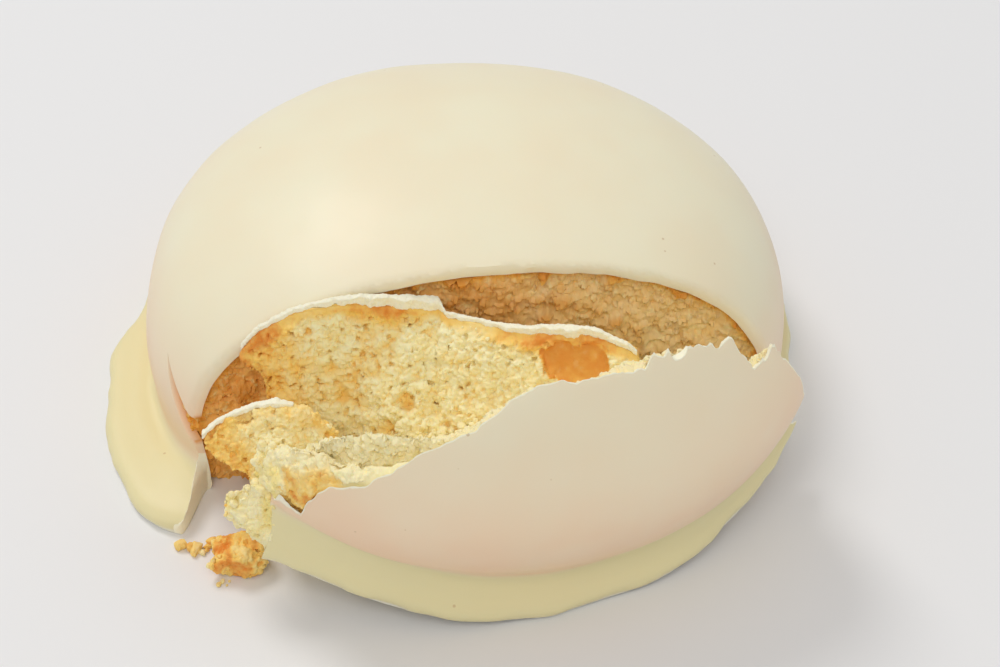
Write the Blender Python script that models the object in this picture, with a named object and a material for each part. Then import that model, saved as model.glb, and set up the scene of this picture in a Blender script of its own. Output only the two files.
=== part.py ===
"""Small round lemon cake with a poured icing, cut across and broken open at the front.

The whole cake is an oval dome of sponge under a thin icing that runs out into a solid foot round the base.
One straight cut divides it. The back part stands as it was. The front part is tipped forward and turned on
its foot. A slab of crumb and a broken chunk fill the gap, each under its own strip of icing.
Units are metres. +Z is up, the origin is the middle of the whole cake's base, and the front faces -Y.
"""
import bmesh
import bpy
import numpy as np
from math import pi, radians
from mathutils import Euler, Matrix, Vector, noise

MM = 0.001

# ---- driving dimensions, in mm ---------------------------------------------------------------
HALF_LENGTH = 34.6        # half of the dome's width along X, over the icing
HALF_DEPTH = 32.4         # half of its depth along Y
DOME_RISE = 22.0          # from the widest level up to the top
WIDEST_LEVEL = 7.8        # height of the widest level
PLAN_POWER = 2.15         # superellipse exponent of the plan
PROFILE_POWER = 2.2       # superellipse exponent of the dome's profile
ICING = 0.9               # thickness of the poured icing
GAP = 0.35                # clearance between pieces that touch
CREASE_DRAW = 0.45        # how far the wall draws in above the foot
RIM_HEIGHT = 1.9          # thickness of the foot near its rim

SEGMENTS = 76             # facets round the cake
DOME_RINGS = 10           # facet rows from the widest level to the top

# Width of the icing foot outside the wall and height of the crease above it, by plan angle in degrees.
FOOT_WIDTH = ((0, 1.2), (16, 2.2), (90, 2.0), (140, 2.0), (160, 3.2), (168, 2.0), (178, 4.6), (185, 5.0),
              (190, 4.5), (199, 5.9), (208, 6.3), (218, 7.2), (225, 5.4), (229, 2.8), (240, 2.3), (263, 3.4),
              (273, 3.4), (285, 2.6), (294, 2.9), (306, 1.7), (340, 1.2))
CREASE_HEIGHT = ((0, 3.0), (165, 3.0), (205, 2.6), (222, 5.0), (236, 7.0), (249, 6.0), (262, 4.2),
                 (276, 3.6), (290, 4.4), (302, 5.6), (325, 4.0))
# Profile of the foot from its base to the crease: share of its width, share of the rim height, and share of
# the way from the rim up to the crease.
FOOT_PROFILE = ((0.93, 0.0, 0.0), (1.0, 0.5, 0.0), (0.88, 1.0, 0.0), (0.40, 1.0, 0.35), (0.0, 1.0, 1.0))

CUT_AT_CENTRE = -16.1     # Y of the straight cut at X = 0
CUT_SLOPE = 0.125         # change of Y along the cut for each unit of X
CUT_RECESS = 0.9          # how far the back part's crumb lies behind the icing's cut edge
CUT_WAVER = (2.5, 0.25)   # waver of that edge: length and height
CRUMB_RELIEF = (3.4, 0.7)          # coarse crumb relief on broken faces: size and height
RELIEF_OCTAVES = (1.6, 0.9)        # shares of its coarse and its finer noise
CRUMB_PITCH = 2.3         # facet size of the broken faces
CUT_BOX = (-44.0, 44.0, -6.0, 40.0)  # X and Z that a cutter spans
CUT_FAR = 60.0            # Y of a cutter's flat far side
HOLLOW_BOTTOM = -3.0      # the form that hollows the icing runs this far below the base

# Edge of the icing that is left on the front part: Y by X, in the whole cake's place.
TORN_EDGE = ((-40.0, -46.0), (-29.4, -46.0), (-28.2, -24.3), (-24.5, -23.8), (-22.4, -25.6), (-20.2, -25.0),
             (-17.0, -25.4), (-11.6, -23.8), (-6.9, -22.4), (-4.5, -20.8), (-1.0, -19.0), (5.0, -18.7),
             (10.8, -16.7), (18.9, -15.0), (21.5, -16.7), (23.8, -14.9), (29.0, -17.2), (40.0, -17.2))
TORN_WAVER = (1.7, 0.5)   # its small teeth: length and height
TORN_PITCH = 1.5          # facet size of the torn edge
BARE_DEPTH = 1.3          # crumb torn off with the icing behind that edge
BARE_START = 0.35         # distance from that edge to where the bare band starts
BARE_WIDTH = 4.4          # width of the bare band behind that edge at the left
BARE_X = (-19.0, -6.0)    # the band narrows to nothing between these
BARE_BOTTOM = 0.6         # height where the bare crumb starts
BARE_RELIEF = 0.42        # its relief
BARE_RELIEF_Z = 4.0       # its relief starts above this height
BAND_SET_BACK = (0.1, 0.25)        # the iced sponge ends this far from the torn edge and from the rear face
BREAK_DRAW = 1.2          # how far the front part's broken rear face stays in front of the cut
BREAK_Z = (6.0, 20.0)     # between these heights it draws forward to the bare band
BREAK_RELIEF = (0.42, 0.2)         # its relief below and above
BREAK_SLICE = 15.0        # slice of the noise that it reads
BREAK_ROOM = 0.75         # space that the loose pieces leave behind it
ROOM_PITCH = 5.0          # facet size of that space
ROOM_START = (1.9, -0.6)  # it starts this far left of the sponge's left end, and at this height
FRONT_LEFT_END = -25.2    # X where the front part's sponge breaks off

FRONT_TURN = (28.8, 11.3, 12.0)    # degrees: tipped forward, rolled down to the right, yawed to the left
FRONT_SHIFT = (1.7, -7.9, 18.15)   # its shift after turning about the origin

SLAB_X = (-22.6, 17.6)    # ends of the crumb slab that stands between the two parts
SLAB_GRID = (22, 12)      # facets along and up
STRIP_COLUMNS = (44, 16)  # facets along the slab's strip of icing and along the chunk's
SLAB_BEND = -2.5          # X where the slab bends forward
SLAB_SLOPE = 0.30         # how fast its top runs forward after the bend
SLAB_SET_BACK = 0.45      # gap between its top back edge and the cut
SLAB_STEP = (1.0, (-2.8, -1.4))    # small step forward in its top edge: reach and X range
SLAB_STRETCH = 0.93       # right of the bend its top follows the dome at this share of X
SLAB_SHIFT = 0.4          # the dome's place that its top follows lies this much further forward
# How far the slab's top lies above the dome that it came from: X, rise.
SLAB_RISE = ((-22.6, 0.5), (-20.8, 1.3), (-17.3, 1.4), (-12.8, 0.6), (-10.0, 0.0), (-7.3, -1.0), (-4.8, -1.7),
             (-2.4, -2.3), (-1.6, -3.3), (3.8, -3.5), (6.5, -3.1), (9.0, -2.1), (11.2, -1.4), (13.2, -0.8),
             (16.5, -1.3), (17.6, -2.0))
SLAB_STRIP = 0.5          # width of the strip of icing along its top
STRIP_END = 0.15          # the strip ends this far inside the slab
STRIP_WAVER = (1.3, 0.35)          # ragged front edge of the strips of icing: length and height
SLAB_LEAN = (0.38, 0.88)  # how fast its face comes forward below the top: left part, right part
SLAB_LEAN_X = (-13.0, -4.0)        # the lean changes between these
SLAB_HANG_X = (-9.5, -5.0)         # left of these its lower edge hangs free, right of them it is at the base
SLAB_KNEE = 9.0           # height where the face turns straight down
SLAB_LOW = (11.2, 18.5)   # height of the free lower edge near the middle and at the left end
SLAB_LOW_X = (-16.2, -23.6)        # it rises between these
SLAB_FADE = (5.0, 4.0, 0.3)        # its relief grows from the ends and the top: rates, and share at the top
SLAB_BACK = (0.7, 0.3)    # its back stands this far in front of the cut, and leans back by this at the base
SLAB_THIN = (1.6, (12.0, 18.1))    # thickness of its right end and the X range where it thins
PATCH = (11.4, 2.4, 3.1, 1.7, 0.7)  # smooth hollow: X, depth under the top, half width, half height, depth
PATCH_EDGE = (1.15, 0.85)          # it fades out between these shares of its half sizes

# Broken chunk at the left: X, then Y and Z of its top, and Z of its lower edge.
CHUNK_LINE = ((-25.8, -28.3, 16.5, 15.3), (-24.5, -27.8, 17.5, 14.4), (-22.0, -27.1, 18.4, 13.4),
              (-20.6, -26.9, 18.9, 12.6), (-18.5, -26.8, 19.4, 0.0), (-16.4, -26.9, 18.8, 0.0),
              (-14.7, -27.1, 17.6, 0.0), (-12.4, -27.4, 15.6, 0.0))
CHUNK_GRID = (9, 10)      # facets along and up
CHUNK_STRIP = 0.8         # width of the icing along its top
CHUNK_ICING = 0.7         # thickness of that icing
CHUNK_ICED = (-15.4, -16.8)        # the icing's right end thins out of the crumb's top between these
CHUNK_BELLY = 6.5         # how far below the top its face stops coming forward
CHUNK_LEAN = (0.75, 0.35)          # how fast it comes forward above the belly, and goes back below it
CHUNK_SPREAD = (0.05, 14.0)        # how fast it grows thicker below the top, and down to what depth
CHUNK_WAVER = 0.4         # sideways share of its relief

LOBE = (6.6, (-27.0, -29.5), (4.2, 2.6))   # foot left in front of the cut: its reach, X and Z fades
CRACK_PEAK = (-13.6, 14.3)        # Y and Z of the top of the crack in the left wall
CRACK_ENDS = ((-21.2, 5.0), (-21.2, 9.4))  # where its two sides reach the cut
CRACK_X = (-42.6, -20.8)  # X that it runs through
CRACK_TIP = 0.02          # share of its length that is left off at the peak

LUMP_CENTRE = (-22.8, -30.6)       # X and Y of the loose lump of crumb in front of the chunk
LUMP_SIZE = (3.2, 2.4, 3.9)        # its half length, half depth and height
LUMP_SWELL = (0.45, 1.6, (5.0, 2.0, 9.0))  # its unevenness: height, rate, place in the noise
LUMP_SIT = (0.42, 0.55)   # height of its middle and its reach above that, as shares of its height

COLOURS = {"icing": (0.83, 0.77, 0.56), "sponge": (0.80, 0.62, 0.30), "crumb": (0.72, 0.48, 0.20)}


# ---- shape functions -------------------------------------------------------------------------
def by_angle(table, phi):
    """Value at plan angle phi (radians) from a closed table of (degrees, value)."""
    angles = [a for a, _ in table]
    values = [v for _, v in table]
    return np.interp(np.degrees(phi) % 360.0, angles + [angles[0] + 360.0], values + [values[0]])


def plan(phi, inset=0.0):
    """Point of the superellipse plan at angle phi, moved in by inset."""
    c, s = np.cos(phi), np.sin(phi)
    reach = (abs(c) ** PLAN_POWER + abs(s) ** PLAN_POWER) ** (-1.0 / PLAN_POWER)
    return (HALF_LENGTH - inset) * reach * c, (HALF_DEPTH - inset) * reach * s


def cut_y(x):
    """Y of the straight cut."""
    return CUT_AT_CENTRE + CUT_SLOPE * x


def dome_z(x, y, inset=0.0):
    """Height of the dome over a point of the plan, moved in by inset."""
    rho = (abs(x / (HALF_LENGTH - inset)) ** PLAN_POWER
           + abs(y / (HALF_DEPTH - inset)) ** PLAN_POWER) ** (1.0 / PLAN_POWER)
    lift = max(1.0 - rho ** PROFILE_POWER, 0.0) ** (1.0 / PROFILE_POWER)
    return WIDEST_LEVEL + (DOME_RISE - inset) * lift


def step(low, high, x):
    """Smooth 0 to 1 between low and high."""
    t = min(max((x - low) / (high - low), 0.0), 1.0)
    return t * t * (3.0 - 2.0 * t)


def relief(x, y, z, height=CRUMB_RELIEF[1]):
    """Coarse crumb relief: two octaves of smooth noise."""
    size = CRUMB_RELIEF[0]
    big = noise.noise(Vector((x, y, z)) / size)
    small = noise.noise(Vector((x + 31.0, y, z - 17.0)) / (0.5 * size))
    return height * (RELIEF_OCTAVES[0] * big + RELIEF_OCTAVES[1] * small)


def waver(x, z, shape, row):
    """Small teeth along an edge; shape is their length and height, row picks another run of noise."""
    length, height = shape
    return height * noise.noise(Vector((x / length, row, z / (3.0 * length))))


# ---- mesh helpers ----------------------------------------------------------------------------
def new_object(name, mesh_tool, collection):
    """Make an object from a bmesh given in mm, with its faces turned outwards."""
    bmesh.ops.recalc_face_normals(mesh_tool, faces=mesh_tool.faces)
    bmesh.ops.scale(mesh_tool, vec=(MM, MM, MM), verts=mesh_tool.verts)
    mesh = bpy.data.meshes.new(name)
    mesh_tool.to_mesh(mesh)
    mesh_tool.free()
    obj = bpy.data.objects.new(name, mesh)
    collection.objects.link(obj)
    return obj


def body_of_rings(name, rings, collection):
    """Closed body: a UV sphere whose rows, from the bottom pole up, follow rings.

    Each ring is a function of the plan angle that returns x, y, z.
    """
    tool = bmesh.new()
    bmesh.ops.create_uvsphere(tool, u_segments=SEGMENTS, v_segments=len(rings) - 1, radius=1.0)
    for vert in tool.verts:
        row = round((1.0 - np.arccos(np.clip(vert.co.z, -1.0, 1.0)) / pi) * (len(rings) - 1))
        vert.co = rings[row](np.arctan2(vert.co.y, vert.co.x))
    return new_object(name, tool, collection)


def sheet_solid(name, columns, rows, front, back, collection):
    """Closed slab: a grid whose points follow front(u, v), extruded to points that follow back(u, v)."""
    tool = bmesh.new()
    bmesh.ops.create_grid(tool, x_segments=columns, y_segments=rows, size=1.0)
    places = {v: (0.5 + 0.5 * v.co.x, 0.5 + 0.5 * v.co.y) for v in tool.verts}
    copied = bmesh.ops.extrude_face_region(tool, geom=tool.faces[:])["geom"]
    for vert in [g for g in copied if isinstance(g, bmesh.types.BMVert)]:
        vert.co = back(0.5 + 0.5 * vert.co.x, 0.5 + 0.5 * vert.co.y)
    for vert, (u, v) in places.items():
        vert.co = front(u, v)
    return new_object(name, tool, collection)


def combine(target, other, operation):
    """Apply one Boolean of other to target."""
    modifier = target.modifiers.new(operation.lower(), "BOOLEAN")
    modifier.operation = operation
    modifier.object = other
    bpy.context.view_layer.update()
    graph = bpy.context.evaluated_depsgraph_get()
    mesh = bpy.data.meshes.new_from_object(target.evaluated_get(graph))
    target.modifiers.remove(modifier)
    old = target.data
    target.data = mesh
    bpy.data.meshes.remove(old)


def keep_largest(obj):
    """Drop loose scraps and slivers, and close the pinholes they leave, so that one closed body is left."""
    tool = bmesh.new()
    tool.from_mesh(obj.data)
    bmesh.ops.triangulate(tool, faces=tool.faces)
    bmesh.ops.remove_doubles(tool, verts=tool.verts, dist=0.000005)
    bmesh.ops.dissolve_degenerate(tool, dist=0.000005, edges=tool.edges)
    bmesh.ops.triangulate(tool, faces=tool.faces)
    groups = []
    left = set(tool.faces)
    while left:
        stack = [left.pop()]
        group = set(stack)
        while stack:
            for edge in stack.pop().edges:
                fresh = [f for f in edge.link_faces if f in left]
                left.difference_update(fresh)
                group.update(fresh)
                stack.extend(fresh)
        groups.append(group)
    groups.sort(key=len)
    for group in groups[:-1]:
        bmesh.ops.delete(tool, geom=list(group), context="FACES")
    bmesh.ops.holes_fill(tool, edges=[e for e in tool.edges if e.is_boundary], sides=4)
    bmesh.ops.recalc_face_normals(tool, faces=tool.faces)
    tool.to_mesh(obj.data)
    tool.free()


def material(kind, name):
    """Principled material of one piece."""
    mat = bpy.data.materials.new(name)
    mat.use_nodes = True
    shader = mat.node_tree.nodes["Principled BSDF"]
    shader.inputs["Base Color"].default_value = (*COLOURS[kind], 1.0)
    shader.inputs["Roughness"].default_value = 0.35 if kind == "icing" else 0.9
    shader.inputs["Metallic"].default_value = 0.0
    return mat


def front_pose():
    """Matrix that moves the front part from its place in the whole cake to where it lies now."""
    tip, roll, yaw = (radians(a) for a in FRONT_TURN)
    turn = Euler((0, roll, 0)).to_matrix() @ Euler((tip, 0, 0)).to_matrix() @ Euler((0, 0, yaw)).to_matrix()
    return Matrix.Translation(Vector(FRONT_SHIFT) * MM) @ turn.to_4x4()


# ---- whole cake ------------------------------------------------------------------------------
def dome_rings(inset):
    """Rings of the dome from just above the widest level to the pole."""
    rings = []
    for k in range(DOME_RINGS + 1):
        lift = np.sin(0.5 * pi * k / DOME_RINGS) ** (2.0 / PROFILE_POWER)
        rho = max(1.0 - lift ** PROFILE_POWER, 0.0) ** (1.0 / PROFILE_POWER)

        def ring(phi, lift=lift, rho=rho):
            x, y = plan(phi, inset)
            return rho * x, rho * y, WIDEST_LEVEL + (DOME_RISE - inset) * lift
        rings.append(ring)
    return rings


def outer_rings():
    """Rings of the iced outside: flat base, foot, crease, wall and dome."""
    def foot(share, rim, rise):
        def ring(phi):
            x, y = plan(phi)
            crease = by_angle(CREASE_HEIGHT, phi)
            reach = share * by_angle(FOOT_WIDTH, phi) - CREASE_DRAW * (1.0 - share)
            scale = 1.0 + reach / np.hypot(x, y)
            return x * scale, y * scale, RIM_HEIGHT * rim + rise * (crease - RIM_HEIGHT)
        return ring

    def base(share):
        def ring(phi):
            x, y = plan(phi)
            return share * x, share * y, 0.0
        return ring
    return [base(0.0), base(0.5)] + [foot(*row) for row in FOOT_PROFILE] + dome_rings(0.0)


def inner_rings(inset, bottom):
    """Rings of the dome moved in by inset, with a straight wall down to bottom."""
    def low(scale, height):
        def ring(phi):
            x, y = plan(phi, inset + CREASE_DRAW)
            return scale * x, scale * y, height
        return ring
    return [lambda phi: (0.0, 0.0, bottom), low(0.5, bottom), low(1.0, bottom),
            low(1.0, 0.4 * WIDEST_LEVEL)] + dome_rings(inset)


def torn_y(x, z):
    """Edge of the icing left on the front part, with small teeth."""
    xs = [a for a, _ in TORN_EDGE]
    ys = [b for _, b in TORN_EDGE]
    return float(np.interp(x, xs, ys)) + waver(x, z, TORN_WAVER, 4.0)


def hide(body):
    """A cutter is only drawn as wires and isn't rendered."""
    body.hide_render = True
    body.display_type = "WIRE"
    return body


def cutter(name, face, far, cutters, bounds=CUT_BOX, pitch=CRUMB_PITCH):
    """Block whose near side is the sheet y = face(x, z) and whose far side is flat at y = far."""
    x0, x1, z0, z1 = bounds
    columns = round((x1 - x0) / pitch)
    rows = round((z1 - z0) / pitch)

    def near(u, v):
        x, z = x0 + (x1 - x0) * u, z0 + (z1 - z0) * v
        return x, face(x, z), z

    def away(u, v):
        return x0 + (x1 - x0) * u, far, z0 + (z1 - z0) * v
    return hide(sheet_solid(name, columns, rows, near, away, cutters))


def crack(cutters):
    """Wedge that opens the icing of the left wall between its peak and the cut."""
    def side(x):
        def sheet(u, v):
            share = CRACK_TIP + (1.0 - CRACK_TIP) * u
            low, high = [[p + (e - p) * share for p, e in zip(CRACK_PEAK, end)] for end in CRACK_ENDS]
            return x, low[0] + (high[0] - low[0]) * v, low[1] + (high[1] - low[1]) * v
        return sheet
    return hide(sheet_solid("crack", 4, 1, side(CRACK_X[0]), side(CRACK_X[1]), cutters))


def back_part(parts, cutters):
    """Sponge and icing of the part that stands as it was."""
    def sponge_face(x, z):
        return cut_y(x) + CUT_RECESS + relief(x, 0.0, z)

    def icing_face(x, z):
        reach, fade_x, fade_z = LOBE
        lobe = reach * step(*fade_x, x) * step(*fade_z, z)
        return cut_y(x) + waver(x, z, CUT_WAVER, 9.0) - lobe
    sponge = body_of_rings("sponge_back", inner_rings(ICING + GAP, 0.0), parts)
    combine(sponge, cutter("cut_sponge_back", sponge_face, -CUT_FAR, cutters), "DIFFERENCE")
    icing = body_of_rings("icing_back", outer_rings(), parts)
    hollow = body_of_rings("hollow", inner_rings(ICING, HOLLOW_BOTTOM), cutters)
    combine(icing, hollow, "DIFFERENCE")
    combine(icing, crack(cutters), "DIFFERENCE")
    combine(icing, cutter("cut_icing_back", icing_face, -CUT_FAR, cutters), "DIFFERENCE")
    return hollow


def rear_y(x, z):
    """Broken rear face of the front part, without its relief: along the cut, then forward towards its top."""
    lower = cut_y(x) - BREAK_DRAW
    upper = min(torn_y(x, z) + BARE_START + BARE_WIDTH * (1.0 - step(*BARE_X, x)), lower)
    return lower + (upper - lower) * step(*BREAK_Z, z)


def front_part(parts, cutters, hollow, pose):
    """Sponge and icing of the part that is broken forward, moved to where it lies."""
    def rear_face(x, z):
        low, high = BREAK_RELIEF
        return rear_y(x, z) + relief(x, BREAK_SLICE, z, low + (high - low) * step(*BREAK_Z, z))

    def band_face(x, z):
        return min(torn_y(x, z) + BAND_SET_BACK[0], rear_face(x, z) - BAND_SET_BACK[1])
    sponge = body_of_rings("sponge_front", inner_rings(ICING + GAP, 0.0), parts)
    combine(sponge, cutter("cut_band", band_face, CUT_FAR, cutters), "DIFFERENCE")
    stripped = body_of_rings("stripped", inner_rings(ICING + GAP + BARE_DEPTH, BARE_BOTTOM), cutters)
    for vert in stripped.data.vertices:
        x, y, z = vert.co / MM
        if z > BARE_RELIEF_Z:
            vert.co += vert.co.normalized() * relief(x, y, z, BARE_RELIEF) * MM
    combine(stripped, cutter("cut_rear", rear_face, CUT_FAR, cutters), "DIFFERENCE")
    combine(sponge, stripped, "UNION")
    left_box = (-CUT_FAR, FRONT_LEFT_END, *CUT_BOX[2:])
    end = cutter("cut_left", lambda x, z: -CUT_FAR, CUT_FAR, cutters, left_box)
    for vert in end.data.vertices:
        if vert.co.x > (FRONT_LEFT_END - 0.1) * MM:
            vert.co.x += relief(0.0, vert.co.y / MM, vert.co.z / MM) * MM
    combine(sponge, end, "DIFFERENCE")

    icing = body_of_rings("icing_front", outer_rings(), parts)
    combine(icing, hollow, "DIFFERENCE")
    combine(icing, cutter("cut_torn", torn_y, CUT_FAR, cutters, pitch=TORN_PITCH), "DIFFERENCE")
    for piece in (sponge, icing):
        piece.data.transform(pose)


# ---- crumb slab and chunk --------------------------------------------------------------------
def front_room(cutters, pose):
    """Block round the front part's sponge where it lies, which the loose pieces keep clear of."""
    def face(x, z):
        return rear_y(x, z) + BREAK_ROOM
    bounds = (FRONT_LEFT_END - ROOM_START[0], CUT_BOX[1], ROOM_START[1], CUT_BOX[3])
    block = cutter("front_room", face, -CUT_FAR, cutters, bounds, ROOM_PITCH)
    block.data.transform(pose)
    return block


def slab_back_y(x):
    """Y of the slab's top back edge: along the cut, then bent forward."""
    bend = max(x - SLAB_BEND, 0.0)
    reach, fade_x = SLAB_STEP
    return cut_y(min(x, SLAB_BEND)) - SLAB_SET_BACK - SLAB_SLOPE * bend - reach * step(*fade_x, x)


def slab_top_z(x, y, inset):
    """Height of the slab's top over the icing's inset."""
    along = x - (1.0 - SLAB_STRETCH) * max(x - SLAB_BEND, 0.0)
    xs = [a for a, _ in SLAB_RISE]
    rises = [b for _, b in SLAB_RISE]
    level = dome_z(along, cut_y(along) + (y - slab_back_y(x)) - SLAB_SHIFT, inset)
    return level + float(np.interp(x, xs, rises))


def slab_section(x, v):
    """Front face of the slab at x: v runs from its lower edge (0) to its top (1)."""
    y_top = slab_back_y(x) - SLAB_STRIP
    z_top = slab_top_z(x, y_top, ICING + GAP)
    hanging = 1.0 - step(*SLAB_HANG_X, x)
    low, low_end = SLAB_LOW
    z_low = hanging * (low + (low_end - low) * step(*SLAB_LOW_X, x))
    z = z_low + (z_top - z_low) * v
    left, right = SLAB_LEAN
    lean = left + (right - left) * step(*SLAB_LEAN_X, x)
    return y_top - lean * (z_top - max(z, SLAB_KNEE)), z


def patch_share(x, below):
    """1 in the smooth hollow of the slab's face, 0 outside it, at x and that far below the slab's top."""
    middle, level, half_width, half_height, _ = PATCH
    return step(*PATCH_EDGE, np.hypot((x - middle) / half_width, (below - level) / half_height))


def slab(parts, room):
    """Slab of crumb that stands between the two parts, and the strip of icing along its top."""
    x0, x1 = SLAB_X

    def front(u, v):
        x = x0 + (x1 - x0) * u
        y, z = slab_section(x, v)
        patch = patch_share(x, slab_section(x, 1.0)[1] - z)
        ends, top, rest = SLAB_FADE
        fade = min(1.0, ends * u, ends * (1.0 - u), top * (1.0 - v) + rest) * (1.0 - patch)
        return x, y + fade * relief(x, 12.0, z) + PATCH[-1] * patch, z

    def back(u, v):
        x = x0 + (x1 - x0) * u
        y_front, z = slab_section(x, v)
        y_top = slab_back_y(x)
        z_top = slab_section(x, 1.0)[1]
        upright = cut_y(x) - SLAB_BACK[0]
        y = upright + (y_top - upright) * min(z / z_top, 1.0) - SLAB_BACK[1] * (1.0 - v)
        thin, fade_x = SLAB_THIN
        return x, y + (y_front + thin - y) * step(*fade_x, x), z
    sponge = sheet_solid("sponge_slab", *SLAB_GRID, front, back, parts)
    combine(sponge, room, "DIFFERENCE")

    def strip(inset):
        def sheet(u, v):
            x = x0 + STRIP_END + (x1 - x0 - 2.0 * STRIP_END) * u
            y = slab_back_y(x) - SLAB_STRIP * (1.0 - v) + (1.0 - v) * waver(x, 0.0, STRIP_WAVER, 2.0)
            return x, y, slab_top_z(x, y, inset)
        return sheet
    sheet_solid("icing_slab", STRIP_COLUMNS[0], 1, strip(0.0), strip(ICING), parts)


def chunk_line(x):
    """Y and Z of the chunk's top and Z of its lower edge at x."""
    table = np.array(CHUNK_LINE)
    return [float(np.interp(x, table[:, 0], table[:, k])) for k in (1, 2, 3)]


def chunk(parts, room):
    """Broken chunk at the left, on a stump of crumb, with its own strip of icing."""
    x0, x1 = CHUNK_LINE[0][0], CHUNK_LINE[-1][0]

    def section(u, v):
        x = x0 + (x1 - x0) * u
        y_top, z_top, z_low = chunk_line(x)
        covered = z_top - (CHUNK_ICING + GAP) * step(*CHUNK_ICED, x)
        z = z_low + (covered - z_low) * v
        return x, y_top, z, z_top - z

    def front(u, v):
        x, y_top, z, below = section(u, v)
        lean, tuck = CHUNK_LEAN
        y = y_top - lean * min(below, CHUNK_BELLY) + tuck * max(below - CHUNK_BELLY, 0.0)
        if v < 1.0:
            y += relief(x, 20.0, z)
        return x + CHUNK_WAVER * relief(x, 2.0, z), y, z

    def back(u, v):
        x, y_top, z, below = section(u, v)
        rate, depth = CHUNK_SPREAD
        return x + CHUNK_WAVER * relief(x, 2.0, z), y_top + CHUNK_STRIP + rate * min(below, depth), z
    sponge = sheet_solid("sponge_chunk", *CHUNK_GRID, front, back, parts)
    combine(sponge, room, "DIFFERENCE")

    def strip(inset):
        def sheet(u, v):
            x = x0 - STRIP_END + (CHUNK_ICED[1] - x0) * u
            y_top, z_top, _ = chunk_line(x)
            return x, y_top + CHUNK_STRIP * v + (1.0 - v) * waver(x, 0.0, STRIP_WAVER, 6.0), z_top - inset
        return sheet
    sheet_solid("icing_chunk", STRIP_COLUMNS[1], 1, strip(0.0), strip(CHUNK_ICING), parts)


def loose_crumb(parts):
    """Lump of crumb that lies loose beside the chunk."""
    tool = bmesh.new()
    bmesh.ops.create_icosphere(tool, subdivisions=3, radius=1.0)
    half_length, half_depth, height = LUMP_SIZE
    swell, rate, place = LUMP_SWELL
    middle, reach = LUMP_SIT
    for vert in tool.verts:
        x, y, z = vert.co * (1.0 + swell * noise.noise(vert.co * rate + Vector(place)))
        vert.co = (LUMP_CENTRE[0] + half_length * x, LUMP_CENTRE[1] + half_depth * y,
                   max(0.0, height * (middle + reach * z)))
    new_object("crumb_loose", tool, parts)


def main():
    for obj in list(bpy.data.objects):
        bpy.data.objects.remove(obj)
    parts = bpy.data.collections.new("lemon_cake")
    cutters = bpy.data.collections.new("cutters")
    for collection in (parts, cutters):
        bpy.context.scene.collection.children.link(collection)
    pose = front_pose()
    hollow = back_part(parts, cutters)
    front_part(parts, cutters, hollow, pose)
    room = front_room(cutters, pose)
    slab(parts, room)
    chunk(parts, room)
    loose_crumb(parts)
    for obj in list(cutters.objects):
        bpy.data.objects.remove(obj)
    for piece in parts.objects:
        keep_largest(piece)
        piece.data.materials.clear()
        piece.data.materials.append(material(piece.name.split("_")[0], piece.name))
        piece.data.shade_smooth()
        piece.data.set_sharp_from_angle(angle=radians(35.0))
        print(piece.name, len(piece.data.polygons), "triangles")


main()
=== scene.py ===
import math
import bmesh
import bpy
import numpy as np
from mathutils import Euler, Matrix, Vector
from mathutils.bvhtree import BVHTree


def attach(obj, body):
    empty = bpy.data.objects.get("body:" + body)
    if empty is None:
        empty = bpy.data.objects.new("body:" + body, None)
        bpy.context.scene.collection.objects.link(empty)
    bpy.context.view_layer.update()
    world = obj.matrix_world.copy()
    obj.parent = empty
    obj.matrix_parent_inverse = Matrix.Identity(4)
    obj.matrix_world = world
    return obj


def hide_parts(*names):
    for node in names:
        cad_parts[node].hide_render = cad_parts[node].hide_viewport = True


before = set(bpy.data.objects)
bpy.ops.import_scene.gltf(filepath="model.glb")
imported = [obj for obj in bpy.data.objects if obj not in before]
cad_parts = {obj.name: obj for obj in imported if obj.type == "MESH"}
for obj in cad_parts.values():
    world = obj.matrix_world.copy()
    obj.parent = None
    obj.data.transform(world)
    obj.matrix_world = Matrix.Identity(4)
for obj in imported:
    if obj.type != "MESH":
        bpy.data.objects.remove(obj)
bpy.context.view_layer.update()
mm = 0.001            # shapes are worked out in millimetres and turned into metres at the end

# the whole cake before it was cut, in mm: an oval dome of sponge, a poured icing and its foot
cake = {
    "halfLength": 34.6, "halfDepth": 32.4, "domeRise": 22.0, "widestLevel": 7.8,
    "planPower": 2.15, "profilePower": 2.2, "icing": 0.9, "gap": 0.35,
    "creaseDraw": 0.45, "rimHeight": 1.9, "cutAtCentre": -16.1, "cutSlope": 0.125,
    # unevenness of the icing, and what its foot has besides, below these heights: size, height and seed
    "swells": ((11.0, 0.16, 61), (4.0, 0.05, 62)), "footSwells": ((3.3, 0.22, 63), (1.2, 0.08, 64)),
    "footLevels": (4.0, 1.0),
}
spongeInset = cake["icing"] + cake["gap"]
# width of the foot and height of the crease above it, by plan angle in degrees
footWidth = ((0, 1.2), (16, 2.2), (90, 2.0), (140, 2.0), (160, 3.2), (168, 2.0), (178, 4.6), (185, 5.0),
             (190, 4.5), (199, 5.9), (208, 6.3), (218, 7.2), (225, 5.4), (229, 2.8), (240, 2.3), (263, 3.4),
             (273, 3.4), (285, 2.6), (294, 2.9), (306, 1.7), (340, 1.2))
creaseHeight = ((0, 3.0), (165, 3.0), (205, 2.6), (222, 5.0), (236, 7.0), (249, 6.0), (262, 4.2),
                (276, 3.6), (290, 4.4), (302, 5.6), (325, 4.0))
# the icing's torn edge on the front part: x, y in the whole cake's place
tornEdge = ((-40.0, -24.5), (-28.2, -24.3), (-24.5, -23.8), (-22.4, -25.6), (-20.2, -25.0), (-17.0, -25.4),
            (-11.6, -23.8), (-6.9, -22.4), (-4.5, -20.8), (-1.0, -19.0), (5.0, -18.7), (10.8, -16.7),
            (18.9, -15.0), (21.5, -16.7), (23.8, -14.9), (29.0, -17.2), (40.0, -17.2))
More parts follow.
